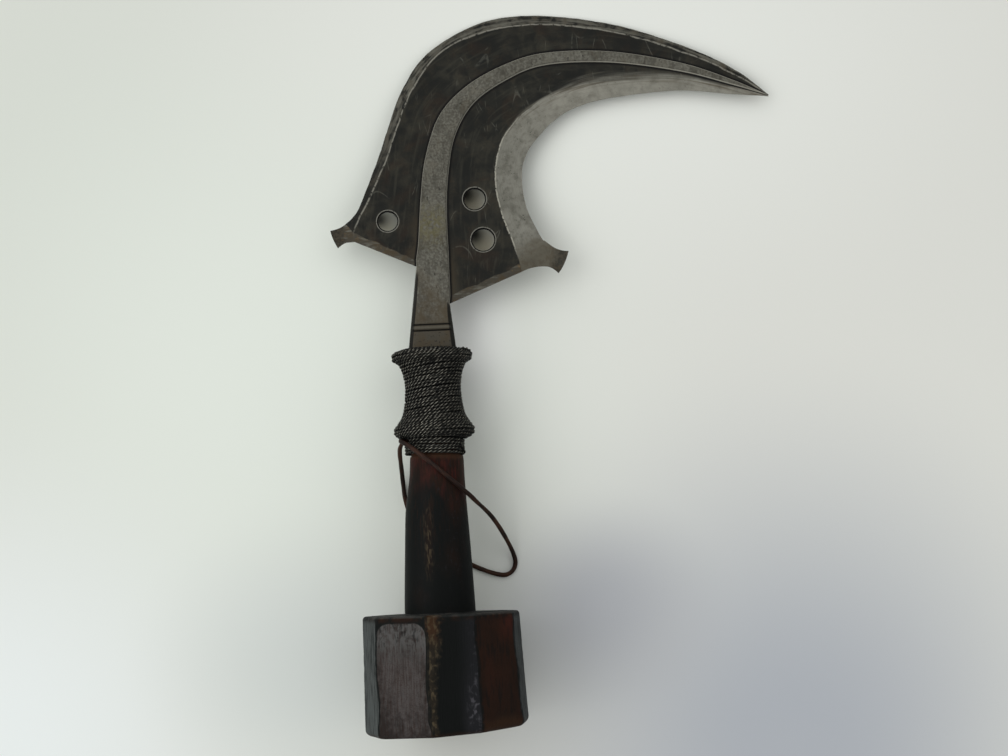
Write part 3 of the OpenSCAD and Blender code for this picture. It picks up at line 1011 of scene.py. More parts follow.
@dataclass(frozen=True)
class BindingIron:
    """Thin wire with painted shade in the lays, and a painted highlight with some wear on the
    crests.
    """

    dark: Colour = (0.011, 0.0112, 0.0104)
    # painted highlight of the crests, with some wear
    crest: Colour = (0.36, 0.345, 0.29)
    rust: Colour = (0.028, 0.019, 0.011)
    crevice_shade: Colour = (0.002, 0.002, 0.002)

    def material(self) -> bpy.types.Material:
        """Builds the material from the crest mark of the wire's mesh.

        Returns:
            The material.
        """
        p = Paint("binding_iron")
        spots, broad, out = p.cloud(1.5, 3), p.cloud(9, 2), p.mark("crest")
        crest = p.rise(out, 0.72, 0.97)
        made = p.coats(
            self.dark,
            (p.rise(spots, 0.5, 0.75) * 0.5, self.rust),
            # painted shade where the wire faces into the lays
            (p.rise(out, 0.6, 0.25), self.crevice_shade),
            # painted highlight on the crests, with some wear
            (crest * p.rise(spots + (broad - 0.5) * 0.4, 0.3, 0.62), self.crest),
        )
        rough, normal = 0.55 - 0.2 * crest + 0.1 * spots, p.raised(spots, 0.05)
        return p.surface(made, rough, normal, {"Metallic": 0.6, "Specular IOR Level": 0.2})


@dataclass(frozen=True)
class Hide:
    """Narrow strip of dark hide, rolled between the hands."""

    dark: Colour = (0.011, 0.006, 0.0045)
    brown: Colour = (0.042, 0.0165, 0.0085)
    worn: Colour = (0.085, 0.037, 0.02)

    def material(self) -> bpy.types.Material:
        """Builds the material, whose fibres run along the strip.

        Returns:
            The material.
        """
        p = Paint("rolled_hide")
        strip = p.out(p.node("ShaderNodeUVMap", {"uv_map": "strip"}))
        fibres = p.noise(p.mapped(strip, (0.35, 14.0, 1.0)), 3.0)
        patch, spots = p.cloud(11, 2), p.cloud(0.9, 3)
        made = p.coats(
            self.dark,
            (p.rise(patch + (fibres - 0.5) * 0.6, 0.35, 0.7), self.brown),
            (p.rise(fibres, 0.56, 0.8) * 0.5, self.worn),
        )
        normal = p.raised(fibres * 0.7 + spots * 0.3, 0.22)
        return p.surface(made, 0.42 + 0.2 * spots, normal, {"Specular IOR Level": 0.14})


@dataclass(frozen=True)
class Tint:
    """A soft spot of another colour: its centre and how far it reaches, in metres."""

    colour: Colour
    at: tuple[float, float]
    reach: tuple[float, float]


@dataclass(frozen=True)
class TableTop:
    """Pale matt table, a little uneven in colour, with painted shade towards its lower right and
    painted light and shade round the knife.
    """

    plain: Colour = (0.715, 0.715, 0.67)
    tints_with_painted_light_and_shade: tuple[Tint, ...] = (
        Tint((0.665, 0.69, 0.63), (-0.25, 0.09), (0.15, 0.22)),
        Tint((0.775, 0.785, 0.74), (0.03, 0.16), (0.19, 0.13)),
        Tint((0.755, 0.79, 0.725), (-0.14, -0.01), (0.19, 0.2)),
        Tint((0.81, 0.845, 0.83), (-0.3, -0.19), (0.15, 0.15)),
        # painted shade beside the pommel's left side
        Tint((0.65, 0.68, 0.65), (-0.138, -0.147), (0.075, 0.07)),
        # painted shadow over the table's lower right
        Tint((0.415, 0.435, 0.468), (0.112, -0.2), (0.155, 0.17)),
        # painted shadow right of the pommel
        Tint((0.43, 0.44, 0.46), (0.019, -0.124), (0.055, 0.05)),
        # painted light beside the neck, which lifts the shade there
        Tint((0.9, 0.91, 0.875), (-0.046, 0.02), (0.026, 0.05)),
        # painted pools of light on the table under the three bores
        Tint((0.7, 0.68, 0.54), (-0.0868, 0.0735), (0.011, 0.011)),
        Tint((0.86, 0.8, 0.62), (-0.0419, 0.0842), (0.011, 0.011)),
        Tint((0.86, 0.8, 0.62), (-0.0368, 0.0628), (0.011, 0.011)),
        # painted shadows on the table under the three bores
        Tint((0.08, 0.08, 0.068), (-0.0883, 0.0786), (0.0058, 0.0058)),
        Tint((0.08, 0.08, 0.068), (-0.0444, 0.0899), (0.0058, 0.0058)),
        Tint((0.08, 0.08, 0.068), (-0.0403, 0.069), (0.0058, 0.0058)),
    )

    def material(self) -> bpy.types.Material:
        """Builds the material, whose grain only shows close by.

        Returns:
            The material.
        """
        p = Paint("pale_table")
        made = self.plain
        # the tints paint the table's uneven colour, and painted shade and painted light round the
        # knife
        for tint in self.tints_with_painted_light_and_shade:
            made = p.blend(self.share(p, tint), made, tint.colour)
        rough, normal = 0.85 + 0.05 * p.cloud(160, 2), p.raised(p.cloud(1.5, 2), 0.02)
        return p.surface(made, rough, normal, {"Specular IOR Level": 0.1})

    @staticmethod
    def share(p: Paint, tint: Tint) -> Signal:
        """Smooth rise towards the middle of a tint.

        Args:
            p: The material's tree.
            tint: The tint.

        Returns:
            A share from 0 to 1.
        """
        scale = (MM / tint.reach[0], MM / tint.reach[1], 0.0)
        place = p.vector("MULTIPLY", p.place, scale)
        centre = (tint.at[0] / tint.reach[0], tint.at[1] / tint.reach[1], 0.0)
        return p.rise(p.vector("DISTANCE", place, centre, output=1), 1.3, 0.1)


# Pieces


@dataclass(frozen=True)
class Hole:
    """One bore through the blade: its centre and how wide it is."""

    at: tuple[float, float]
    wide: float


class Side(Enum):
    """The two sides of the blade that end in a spur."""

    LEFT = "left"
    RIGHT = "right"


@dataclass
class Blade:
    """The forging: plate, rib, bevels, spurs, neck and tang in one piece of iron.

    Each row crosses the outer edge, the outer bevel's ridge, both sides of the rib, the inner
    bevel's ridge and the inner edge. Each spur has its upper edge, its end and its lower edge.
    thinned is what the plate and the rib lose towards the tip, tang the place, width and
    thickness of its two ends, and dents the depth, size and seed of the unevenness.
    """

    rows: Table = (
        ((-41, 55.2), (-37, 55.4), (-6.5, 41.5), (9.5, 22), (46, 36.5), (59.1, 38.6)),
        ((-41.2, 64.5), (-37.5, 60), (-6.5, 44.5), (10, 26), (45.5, 40), (61.5, 49)),
        ((-37.4, 68), (-34.5, 66), (-5.8, 49), (10, 35.8), (44.2, 45), (58.6, 51.5)),
        ((-33.5, 74.5), (-31, 73), (-5, 55), (10, 46), (42.5, 51), (56.5, 54)),
        ((-24.5, 96), (-21, 93.5), (-3, 77), (10, 70), (36.5, 70), (50, 69.5)),
        ((-18, 114), (-14.5, 110.5), (0, 96.5), (11.5, 88), (35, 86), (48.5, 86)),
        ((-10.5, 132.5), (-6.5, 130), (7.5, 117.5), (15.5, 107), (37.5, 99.5), (51.5, 97)),
        ((3, 151), (8.5, 150), (21, 132), (25.5, 123.5), (42, 108.5), (57, 104.5)),
        ((29.5, 165.5), (31, 160.5), (40, 142.5), (42.5, 135), (52, 118.5), (65, 112.5)),
        ((58.5, 168.5), (60, 163.5), (62, 148.5), (62.5, 142), (70, 128.5), (76, 119)),
        ((98.5, 162), (98, 158), (95, 148), (95, 142), (93, 134), (94, 123.5)),
        ((136.5, 148), (135, 145), (131, 140.5), (130, 136), (130, 133.5), (128, 126)),
        ((160.5, 134.5), (160, 132), (157, 130.5), (156, 128), (156, 127), (156, 123)),
        ((175, 121.9), (174.8, 121.8), (174.6, 121.7),
         (174.6, 121.4), (174.8, 121.3), (175, 121.1)),
    )
    left_spur: Table = (
        ((-41.2, 64.5), (-43.2, 62.9), (-45.8, 61.9), (-49, 61.5)),
        ((-45.5, 52.5), (-47, 55), (-48.5, 58.5), (-49, 61.5)),
        ((-41, 55.2), (-42.6, 54.8), (-44.2, 53.8), (-45.5, 52.5)),
    )
    right_spur: Table = (
        ((61.5, 49), (63.9, 47.1), (66.8, 46), (70, 46)),
        ((64.5, 35), (67.5, 38.5), (69, 42.5), (70, 46)),
        ((59.1, 38.6), (61, 38.2), (62.8, 36.9), (64.5, 35)),
    )
    holes: tuple[Hole, ...] = (
        Hole((-20.0, 65.0), 9.6), Hole((24.0, 74.5), 10.5), Hole((27.5, 53.5), 11.0),
    )
    plate_t: float = 2.2
    edge_t: float = 0.6
    rib_rise: float = 1.5
    thinned: tuple[float, float] = (0.6, 0.55)
    rib_slope: float = 0.8
    rib_round: float = 0.16
    spur_t: float = 1.3
    spur_thins: float = 0.12
    hole_chamfer: float = 0.7
    neck_w: float = 23.4
    neck_t: float = 7.6
    neck_slope: float = 2.2
    neck_square: float = 14.0
    square_share: float = 0.44
    neck_side: float = 0.45
    side_t: float = 1.15
    side_loss: float = 0.62
    neck_steps: int = 24
    grooves: tuple[float, float] = (8.4, 11.4)
    groove_w: float = 0.42
    groove_d: float = 0.55
    bead_h: float = 0.12
    bead_w: float = 0.75
    tang: Table = ((-74.0, 6.0, 3.0), (-1.9, 13.0, 4.6))
    wavy: float = 0.14
    nick: float = 0.3
    nick_from: float = 0.35
    dents: Table = ((0.05, 8.0, 1.7), (0.02, 2.6, 5.3))
    row_steps: int = 18
    foot_steps: int = 6
    columns: tuple[int, int, int] = (7, 17, 10)
    rib_columns: int = 23
    sharp: float = 32.0

    def keys(self) -> Array:
        """Makes the fine rows from the foot to the tip.

        Returns:
            The six key points of every row.
        """
        knots = np.array(self.rows, float)
        body = spline(knots[1:], self.row_steps)
        foot = [mix(knots[0], knots[1], k / self.foot_steps) for k in range(self.foot_steps)]
        return self.nicked(np.concatenate([foot, body]))

    def nicked(self, keys: Array) -> Array:
        """Draws both cutting edges in a little, unevenly, above the spurs.

        Args:
            keys: The six key points of every row.

        Returns:
            The worn rows.
        """
        share = np.arange(len(keys)) / len(keys)
        fade = eased(0.1, 0.16, share) * eased(1.0, 0.97, share)
        for edge, ridge, seed in ((0, 1, 3.1), (5, 4, 8.7)):
            flat = np.concatenate([keys[:, edge], np.zeros((len(keys), 1))], axis=1)
            nicks = np.clip(ripple(flat, 2, seed), self.nick_from, 1) - self.nick_from
            depth = self.wavy * (1 + ripple(flat, 4.5, seed)) + self.nick * nicks
            inward = keys[:, ridge] - keys[:, edge]
            inward /= np.linalg.norm(inward, axis=1)[:, None]
            keys[:, edge] += inward * (fade * depth)[:, None]
        return keys

    def halves(self, count: int) -> tuple[Array, Array, Array]:
        """Half thicknesses of every fine row.

        Args:
            count: Number of rows.

        Returns:
            The thicknesses of the two edges, of the plate and of the rib.
        """
        foot = self.foot_steps
        s = np.clip((np.arange(count) - foot) / (count - 1 - foot), 0, 1)
        plate_loss, rib_loss = self.thinned
        plate = np.maximum(self.plate_t / 2 * (1 - plate_loss * s**3), self.edge_t / 2)
        rib = plate + self.rib_rise * (1 - rib_loss * s) * np.where(s < 1, 1, 0.3)
        low = np.arange(count) < foot
        rise = np.arange(count) / foot
        plate = np.where(low, mix(self.edge_t / 2 + 0.1, plate, rise), plate)
        root = 1 - eased(foot, foot + 1.4 * self.row_steps, np.arange(count))
        edge = mix(self.edge_t / 2, self.spur_t / 2, root)
        return np.minimum(edge, plate), plate, rib

    def rib_shares(self, width: float, slope: float) -> tuple[Array, Array]:
        """Spreads columns over the rib.

        Args:
            width: Width of the rib.
            slope: Width of each of its sides.

        Returns:
            The columns' shares of the width, and of the height.
        """
        s = min(slope / width, 0.3)
        r = min(self.rib_round / width, 0.05)
        side = np.array([0, 0.3 * s, 0.6 * s, 0.88 * s, s, s + r, s + 2.2 * r])
        high = np.array([0, 0.28, 0.6, 0.88, 0.965, 0.99, 1.0])
        flat = self.rib_columns - 2 * len(side)
        top = np.linspace(side[-1], 1 - side[-1], flat + 2)[1:-1]
        shares = np.concatenate([side, top, 1 - side[::-1]])
        return shares, np.concatenate([high, np.ones(flat), high[::-1]])

    def body(self) -> Patch:
        """Builds the blade above its lower edge.

        Returns:
            Its grid.
        """
        keys = self.keys()
        edge, plate, rib = self.halves(len(keys))
        bevel, flat, ground = (np.linspace(0, 1, n) for n in self.columns)
        rows, marks = [], {"rib": [], "inner": [], "outer": []}
        for i, k in enumerate(keys):
            widths = np.linalg.norm(np.diff(k, axis=0), axis=1)
            rib_share, rib_high = self.rib_shares(max(widths[2], 0.01), self.rib_slope)
            shares = [bevel[:-1], flat[:-1], rib_share, flat[1:], ground[1:]]
            level = [np.full(len(s), plate[i]) for s in shares]
            level[0] = mix(edge[i], plate[i], shares[0])
            level[2] = mix(plate[i], rib[i], rib_high)
            level[4] = mix(plate[i], edge[i], shares[4])
            spans = [mix(k[n], k[n + 1], s[:, None]) for n, s in enumerate(shares)]
            bow = 4 * max(0, 1 - i / self.foot_steps)
            spans[4][:, 1] += bow * shares[4] * (1 - shares[4])
            rows.append(np.column_stack([np.concatenate(spans), np.concatenate(level)]))
            run = [s * width for s, width in zip(shares, widths)]
            left = [width - r for r, width in zip(run, widths)]
            far = [np.full(len(s), FAR) for s in shares]
            marks["outer"].append([-left[0], run[1], *far[2:]])
            marks["inner"].append([*far[:3], left[3], -run[4]])
            marks["rib"].append([far[0], left[1], -np.minimum(run[2], left[2]), run[3], far[4]])
        points = np.array(rows)
        made = {name: np.array([np.concatenate(v) for v in found]) for name, found in marks.items()}
        climb = np.linalg.norm(np.diff(points[:, :, :2], axis=0), axis=2)
        height = np.concatenate([np.zeros((1, points.shape[1])), np.cumsum(climb, axis=0)])
        made["foot"] = height - height[self.foot_steps]
        along = np.arange(len(keys)) / (len(keys) - 1)
        made["along"] = np.repeat(along[:, None], points.shape[1], axis=1)
        made |= {name: np.zeros(points.shape[:2]) for name in ("groove", "spur")}
        return Patch(points, made)

    def on_rib(self) -> slice:
        """Columns of the body's grid that cross the rib."""
        first = self.columns[0] + self.columns[1] - 2
        return slice(first, first + self.rib_columns)

    def groove_depth(self, y: Array) -> Array:
        """Depth of the neck's incised lines.

        Args:
            y: Places on the axis.

        Returns:
            The depths, below zero where the bead between them stands up.
        """
        cut = sum(np.exp(-(((y - g) / self.groove_w) ** 2)) for g in self.grooves)
        bead = np.exp(-(((y - sum(self.grooves) / 2) / self.bead_w) ** 4))
        return self.groove_d * cut - self.bead_h * bead

    def neck_ends(self, top: Array) -> list[tuple[Sequence[float], Sequence[float], float]]:
        """Where each row of the tang and the neck starts and ends.

        Args:
            top: The rib's first row of the body, on which the neck ends.

        Returns:
            The left and the right end of each row, and how far up the neck it lies from 0 to 1.
            The tang's rows have their thickness there, below zero.
        """
        ends = [((-wide / 2, y), (wide / 2, y), -thick) for y, wide, thick in self.tang]
        corners = top[0, :2], top[-1, :2]
        lined = np.arange(6.8, 13.2, 0.16)
        for y in (-1.9, 0.0, 2.5, 5.0, *lined, self.neck_square):
            x = [mix(w * self.neck_w / 2, c[0], y / c[1]) for w, c in zip((-1, 1), corners)]
            share = self.square_share * max(y, 0) / self.neck_square
            ends.append((np.array([x[0], y]), np.array([x[1], y]), share))
        low = ends[-1][:2]
        for s in np.linspace(0, 1, self.neck_steps)[1:-1]:
            left, right = (mix(a, b, s) for a, b in zip(low, corners))
            ends.append((left, right, mix(self.square_share, 1, s)))
        return ends

    def neck(self, body: Patch) -> Patch:
        """Grid of the neck and tang, which ends on the rib's first row of the body.

        Args:
            body: The blade's grid.

        Returns:
            The neck's grid.
        """
        columns = self.on_rib()
        top = body.points[0, columns]
        rows, marks = [], {"rib": [], "groove": [], "along": []}
        for a, b, share in self.neck_ends(top):
            a, b = np.array(a, float), np.array(b, float)
            width, is_tang = np.linalg.norm(b - a), share < 0
            slope = 1.0 if is_tang else mix(self.neck_slope, self.rib_slope, share)
            across, high = self.rib_shares(width, slope)
            half = mix(self.neck_t / 2, top[:, 2].max(), eased(0, 1, share))
            side = mix(self.neck_side * half, self.side_t, share)
            side *= 1 - self.side_loss * eased(0.88, 1, share)
            if is_tang:
                half = -share / 2
                side = self.neck_side * half
            flat = mix(a, b, across[:, None])
            cut = self.groove_depth(flat[:, 1]) * (0 if is_tang else 1)
            height = mix(side, half, high) - cut * eased(0.5, 0.95, high)
            rows.append(np.column_stack([flat, height]))
            marks["rib"].append(-np.minimum(across, 1 - across) * width)
            marks["groove"].append(cut * 2 * high)
            marks["along"].append(np.full(len(across), -1.0 if is_tang else share - 1))
        rows.append(top)
        made = {k: np.array([*v, body.marks[k][0, columns]]) for k, v in marks.items()}
        for name, value in (("inner", FAR), ("outer", FAR), ("foot", -FAR), ("spur", 0.0)):
            made[name] = np.full(made["rib"].shape, value)
        return Patch(np.array(rows), made)

    def spur(self, body: Patch, side: Side) -> Patch:
        """Grid of one fishtail spur, which grows from the body's foot.

        Args:
            body: The blade's grid.
            side: Which of the two spurs.

        Returns:
            The spur's grid.
        """
        left = side is Side.LEFT
        upper, end, lower = self.left_spur if left else self.right_spur
        root = body.points[: self.foot_steps + 1, 0 if left else -1]
        u = np.linspace(0, 1, 13)
        w = np.linspace(0, 1, len(root))
        up, low, tip = bezier(upper, u), bezier(lower, u), bezier(end, w)
        rows = []
        for j, share in enumerate(w):
            flat = mix(root[j, :2], tip[j], u[:, None]) + mix(low, up, share)
            flat -= mix(mix(low[0], up[0], share), mix(low[-1], up[-1], share), u[:, None])
            thick = self.spur_t / 2 - self.spur_thins * abs(2 * share - 1) ** 4
            height = mix(root[j, 2], thick, eased(0, 0.5, u))
            rows.append(np.column_stack([flat, height]))
        points = np.array(rows)
        points[:, 0] = root
        shape = points.shape[:2]
        reach = np.repeat(u[None], len(root), axis=0)
        marks = {name: np.full(shape, FAR) for name in ("inner", "outer", "rib")}
        marks |= {"along": np.zeros(shape), "groove": np.zeros(shape), "spur": reach}
        marks["foot"] = np.full(shape, -1.0 if left else FAR)
        name, edge = ("outer", 0) if left else ("inner", -1)
        marks[name] = body.marks[name][: len(root), edge][:, None] - reach * 4
        if left:
            points = points[:, ::-1]
            marks = {k: v[:, ::-1] for k, v in marks.items()}
        return Patch(points, marks)

    def build(self, rest: Rest) -> bpy.types.Object:
        """Builds the forging and its finish.

        Args:
            rest: The knife's pose.

        Returns:
            The finished piece.
        """
        body = self.body()
        spurs = [self.spur(body, side) for side in Side]
        shell = Shell.welded([body, self.neck(body), *spurs])
        dents = 0.0
        for deep, size, seed in self.dents:
            dents = dents + deep * (1 + ripple(shell.points, size, seed))
        shell.points[:, 2] -= dents * np.clip(shell.points[:, 2] / (self.plate_t / 2), 0, 1)
        piece = shell.mirrored().build("blade_forging", self.sharp)
        half, over, sides = self.plate_t / 2 - self.hole_chamfer, 3.0, 72
        cutters = []
        for hole in self.holes:
            r = hole.wide / 2
            wide = r + over - half
            cutter = turned("bore", ((wide, -over), (r, -half), (r, half), (wide, over)), sides)
            cutter.location = (*hole.at, 0.0)
            cutters.append(cutter)
        bored(piece, cutters, self.sharp)
        piece.data.transform(rest.matrix())
        piece.data.materials.append(ForgedIron().material(rest, self.holes))
        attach(piece, BODY)
        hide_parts("blade")
        return piece


@dataclass(frozen=True)
class HewnEnd:
    """One end of the hewn pommel: its corners' angles and how far out each lies."""

    angles: tuple[float, ...]
    shares: tuple[float, ...]
    wide: float

    def towards(self, other: "HewnEnd", share: float) -> "HewnEnd":
        """Goes from this outline to another.

        Args:
            other: The pommel's other end.
            share: Share of the way.

        Returns:
            The outline there.
        """
        angles = tuple(mix(a, b, share) for a, b in zip(self.angles, other.angles))
        shares = tuple(mix(a, b, share) for a, b in zip(self.shares, other.shares))
        return HewnEnd(angles, shares, mix(self.wide, other.wide, share))

    def swayed(self, share: float, sway: float) -> "HewnEnd":
        """The outline with the corners of its upper side astray by a few degrees.

        Args:
            share: Share of the way along the pommel, at whose ends nothing moves.
            sway: Largest angle that a corner moves by, in degrees.

        Returns:
            The outline.
        """
        fade = float(eased(0, 0.12, share) * eased(1, 0.9, share))
        astray = [noise.noise(Vector((7.1 * k, 2.7 * share, 0.4))) for k in range(len(self.angles))]
        upper = [abs(angle) < 90 for angle in self.angles]
        angles = tuple(a + 2 * sway * fade * n * u for a, n, u in zip(self.angles, astray, upper))
        return HewnEnd(angles, self.shares, self.wide)

    def drawn_in(self, by: float) -> "HewnEnd":
        """The same outline, smaller by a length on each side."""
        return HewnEnd(self.angles, self.shares, self.wide - 2 * by)

    def corners(self) -> Array:
        """Places the corners across the axis.

        Returns:
            The corners, the first one again at the end.
        """
        a = np.radians(self.angles)
        r = self.wide / 2 * np.array(self.shares)
        points = np.column_stack([r * np.sin(a), r * np.cos(a)])
        return np.concatenate([points, points[:1]])

    def columns(self, steps: int) -> Array:
        """Spreads columns round the axis, closer together near the corners.

        Args:
            steps: Columns on each facet.

        Returns:
            Their angles.
        """
        ends = np.radians([*self.angles, self.angles[0] + 360])
        share = np.arange(steps) / steps
        close = 0.55 * (0.5 - 0.5 * np.cos(np.pi * share)) + 0.45 * share
        return np.concatenate([mix(a, b, close) for a, b in zip(ends, ends[1:])])

    def reach(self, angle: Array, crisp: float) -> Array:
        """Distance from the axis to the facets, whose corners are worn round.

        Args:
            angle: Angle of each column.
            crisp: How sharp the corners are.

        Returns:
            The distance at each angle.
        """
        points = self.corners()
        edges = np.diff(points, axis=0)
        out = np.column_stack([-edges[:, 1], edges[:, 0]])
        out /= np.linalg.norm(out, axis=1)[:, None]
        out *= np.sign(np.sum(out * points[:-1], axis=1))[:, None]
        away = np.sum(out * points[:-1], axis=1)
        lean = np.column_stack([np.sin(angle), np.cos(angle)]) @ out.T
        reach = np.where(lean > 0.2, away / np.maximum(lean, 0.2), 10 * self.wide)
        half = self.wide / 2
        return half - np.log(np.exp(-crisp * (reach - half)).sum(axis=1)) / crisp


@dataclass
class Handle:
    """The carved wood: spool, grip and hewn pommel in one piece, with the tang's socket.

    The knots of head and grip are half widths and places on the axis, and socket holds the
    place, width and height of its two ends. stroke_size, chip_size and grip_size are the
    sizes of the noise that carves the wood.
    """

    head: Table = (
        (12.2, -2), (16.85, -3.5), (18.25, -4.8), (15.75, -6.3), (14.1, -9.2), (12.75, -13.5),
        (12, -20.3), (12.6, -27.9), (13.9, -34), (16.4, -38.45), (18.25, -41), (17.45, -42.6),
        (14.6, -44),
    )
    grip: Table = (
        (13, -45.4), (12.7, -53.4), (13.3, -55), (13.8, -64.8), (15.3, -81), (16.3, -100.2),
        (17.3, -123.3), (17.5, -131),
    )
    oval: float = 0.92
    front: HewnEnd = HewnEnd(
        (-97, -57, -10, 26, 62, 97, 128, 160, 200, 231),
        (1.05, 0.98, 1, 1, 1.02, 0.99, 1, 1, 1, 1.02),
        76.8,
    )
    end: HewnEnd = HewnEnd(
        (-97, -55, -7, 28, 67, 98, 128, 160, 200, 231),
        (1.02, 0.97, 1, 0.99, 1.02, 1.01, 1, 1, 1, 1.01),
        80.0,
    )
    # stain of each facet; values near 2 on the two side facets are painted sheen
    stains_and_sheen: tuple[float, ...] = (2.0, 0.8, 0.0, 1.0, 1.65, 0.8, 0.5, 0.9, 0.6, 1.0)
    front_y: float = -131.0
    end_y: float = -187.0
    wear: float = 1.8
    end_wear: float = 3.0
    bow: float = -1.2
    slant: float = 2.5
    crisp: float = 2.6
    sway: float = 1.7
    facet_steps: int = 16
    round_steps: int = 6
    pommel_steps: int = 54
    strokes: float = 0.1
    stroke_size: Point = (5.0, 22.0, 5.0)
    chips: float = 0.9
    chip_size: Point = (2.2, 3.4, 2.2)
    splinters: float = 1.1
    grip_size: Point = (7.0, 26.0, 7.0)
    sharp: float = 38.0
    socket: Table = ((-74.2, 6.4, 3.4), (-2.0, 13.4, 5.0))
    thong_y: float = -46.1
    thong_angles: tuple[float, float] = (166.0, 193.0)
    thong_hole_d: float = 2.4
    thong_hole_in: float = 11.1
    bow_y: tuple[float, float] = (-57.0, -84.0)
    splint_w: tuple[float, float] = (11.0, 5.5)
    shaved_y: float = -164.2
    shaved_half: float = 29.8
    shaved_round: float = 6.0
    shaved_rim: float = 0.7
    shaved_facet: int = 1
    scuffed_facet: int = 2
    glowing_facet: int = 3
    streak_x: float = -5.0
    streak_w: float = 1.7
    streak_ends: Table = ((-118, -104), (-72, -88))

    def oval_reach(self, radius: float, angle: Array) -> Array:
        """Distance from the axis to an oval of a half width, at each angle."""
        return radius * self.oval / np.hypot(self.oval * np.sin(angle), np.cos(angle))

    @staticmethod
    def ring(reach: Array, angle: Array, y: float) -> Array:
        """Points at each angle round the axis."""
        across, up = reach * np.sin(angle), reach * np.cos(angle)
        return np.column_stack([across, np.full(len(angle), y), up])

    def grip_ring(self, radius: float, y: float, angle: Array) -> Array:
        """Oval ring of the spool or the grip, of a half width and bowed to the left."""
        bow = self.bow * eased(*self.bow_y, y), 0.0, 0.0
        return self.ring(self.oval_reach(radius, angle), angle, y) + bow

    def profile(self) -> Array:
        """Half width and place of every ring from the spool's flat top to the pommel."""
        head, grip = (np.array(knots, float) for knots in (self.head, self.grip))
        return np.concatenate([spline(head, 5), spline(grip, 8)])

    def hewn_ring(self, outline: HewnEnd, y: float, share: float, shrunk: float = 1.0) -> Array:
        """Ring of the pommel.

        Args:
            outline: The pommel's outline there.
            y: Place on the axis.
            share: Share of the end's slant, which shortens the right side.
            shrunk: How far out the ring goes, where it crosses the flat end.

        Returns:
            The ring's points.
        """
        angle = outline.columns(self.facet_steps)
        made = self.ring(shrunk * outline.reach(angle, self.crisp), angle, y)
        made[:, 1] += made[:, 0] * math.tan(math.radians(self.slant)) * share
        return made

    def pommel_rings(self, angle: Array) -> tuple[list[Array], list[HewnEnd]]:
        """Makes the pommel from its front face to the middle of its end.

        Args:
            angle: Angle of each column of the grip.

        Returns:
            The rings and their outlines.
        """
        worn = self.front.drawn_in(self.wear)
        neck = self.grip_ring(self.grip[-1][0], self.front_y, angle)
        face = self.hewn_ring(worn, self.front_y, 0)
        rings = [mix(neck, face, share) for share in np.linspace(0, 1, 9)[1:-1]]
        outlines = [worn] * len(rings)
        for turn in np.linspace(0, np.pi / 2, self.round_steps):
            outlines.append(self.front.drawn_in(self.wear * (1 - math.sin(turn))))
            y = self.front_y - self.wear * (1 - math.cos(turn))
            rings.append(self.hewn_ring(outlines[-1], y, 0))
        for share in np.linspace(0, 1, self.pommel_steps)[1:-1]:
            outlines.append(self.front.towards(self.end, share).swayed(share, self.sway))
            y = mix(self.front_y - self.wear, self.end_y + self.end_wear, share)
            rings.append(self.hewn_ring(outlines[-1], y, share))
        for turn in np.linspace(np.pi / 2, 0, self.round_steps):
            outlines.append(self.end.drawn_in(self.end_wear * (1 - math.sin(turn))))
            y = self.end_y + self.end_wear * (1 - math.cos(turn))
            rings.append(self.hewn_ring(outlines[-1], y, 1))
        for shrunk in (0.97, 0.9, 0.8, 0.65, 0.5, 0.35, 0.2, 0.08, 0.0):
            outlines.append(outlines[-1])
            rings.append(self.hewn_ring(outlines[-1], self.end_y, 1, shrunk))
        return rings, outlines

    def rings(self) -> tuple[Array, list[HewnEnd | None]]:
        """All rings from the bottom of the tang's socket, up, round the outside, to the end.

        Returns:
            The rings' points, and the outline of each ring of the pommel.
        """
        angle = self.front.columns(self.facet_steps)
        s, c = (np.maximum(np.abs(turn(angle)), 1e-6) for turn in (np.sin, np.cos))
        low, top = np.array(self.socket)
        rings = [self.ring(np.zeros(len(angle)), angle, low[0])]
        for share in (0.0, 0.33, 0.66, 1.0):
            y, width, height = mix(low, top, share)
            rings.append(self.ring(np.minimum(width / 2 / s, height / 2 / c), angle, y))
        edge, inside = self.oval_reach(self.head[0][0], angle), rings[-1]
        for share in (0.3, 0.6, 0.9):
            rings.append(mix(inside, self.ring(edge, angle, top[0]), share))
        rings += [self.grip_ring(r, y, angle) for r, y in self.profile()]
        hewn, outlines = self.pommel_rings(angle)
        return np.array(rings + hewn), [None] * len(rings) + outlines

    def marks(self, points: Array, outlines: Sequence[HewnEnd | None]) -> dict[str, Array]:
        """Marks that the wood's finish reads.

        Args:
            points: Rings of points.
            outlines: The outline of each ring of the pommel.

        Returns:
            Each mark by name, in millimetres but for stain and sheen, splint, glow, scuff and
            glint, and streak.
        """
        x, y, z = (points[..., i] for i in range(3))
        made = {name: np.full(x.shape, FAR) for name in ("arris", "shaved")}
        made |= {name: np.zeros(x.shape) for name in ("stain", "splint", "glow", "scuff")}
        made["stain"][:] = np.repeat(self.stains_and_sheen, self.facet_steps)
        for row, outline in enumerate(outlines):
            corners = outline.corners() if outline else ()
            for k, (a, b) in enumerate(zip(corners, corners[1:])):
                facet = slice(k * self.facet_steps, (k + 1) * self.facet_steps)
                width = np.linalg.norm(b - a)
                run = (points[row, facet][:, [0, 2]] - a) @ (b - a) / width
                made["arris"][row, facet] = np.minimum(run, width - run)
                if k == self.shaved_facet:
                    made["shaved"][row, facet] = self.shaved_mark(run, width, y[row, facet])
                down = eased(self.front_y, self.end_y, y[row, facet])
                if k == self.scuffed_facet:
                    far = eased(0.45, 1, run / width)
                    made["splint"][row, facet] = 1 - eased(0, 1, run / mix(*self.splint_w, down))
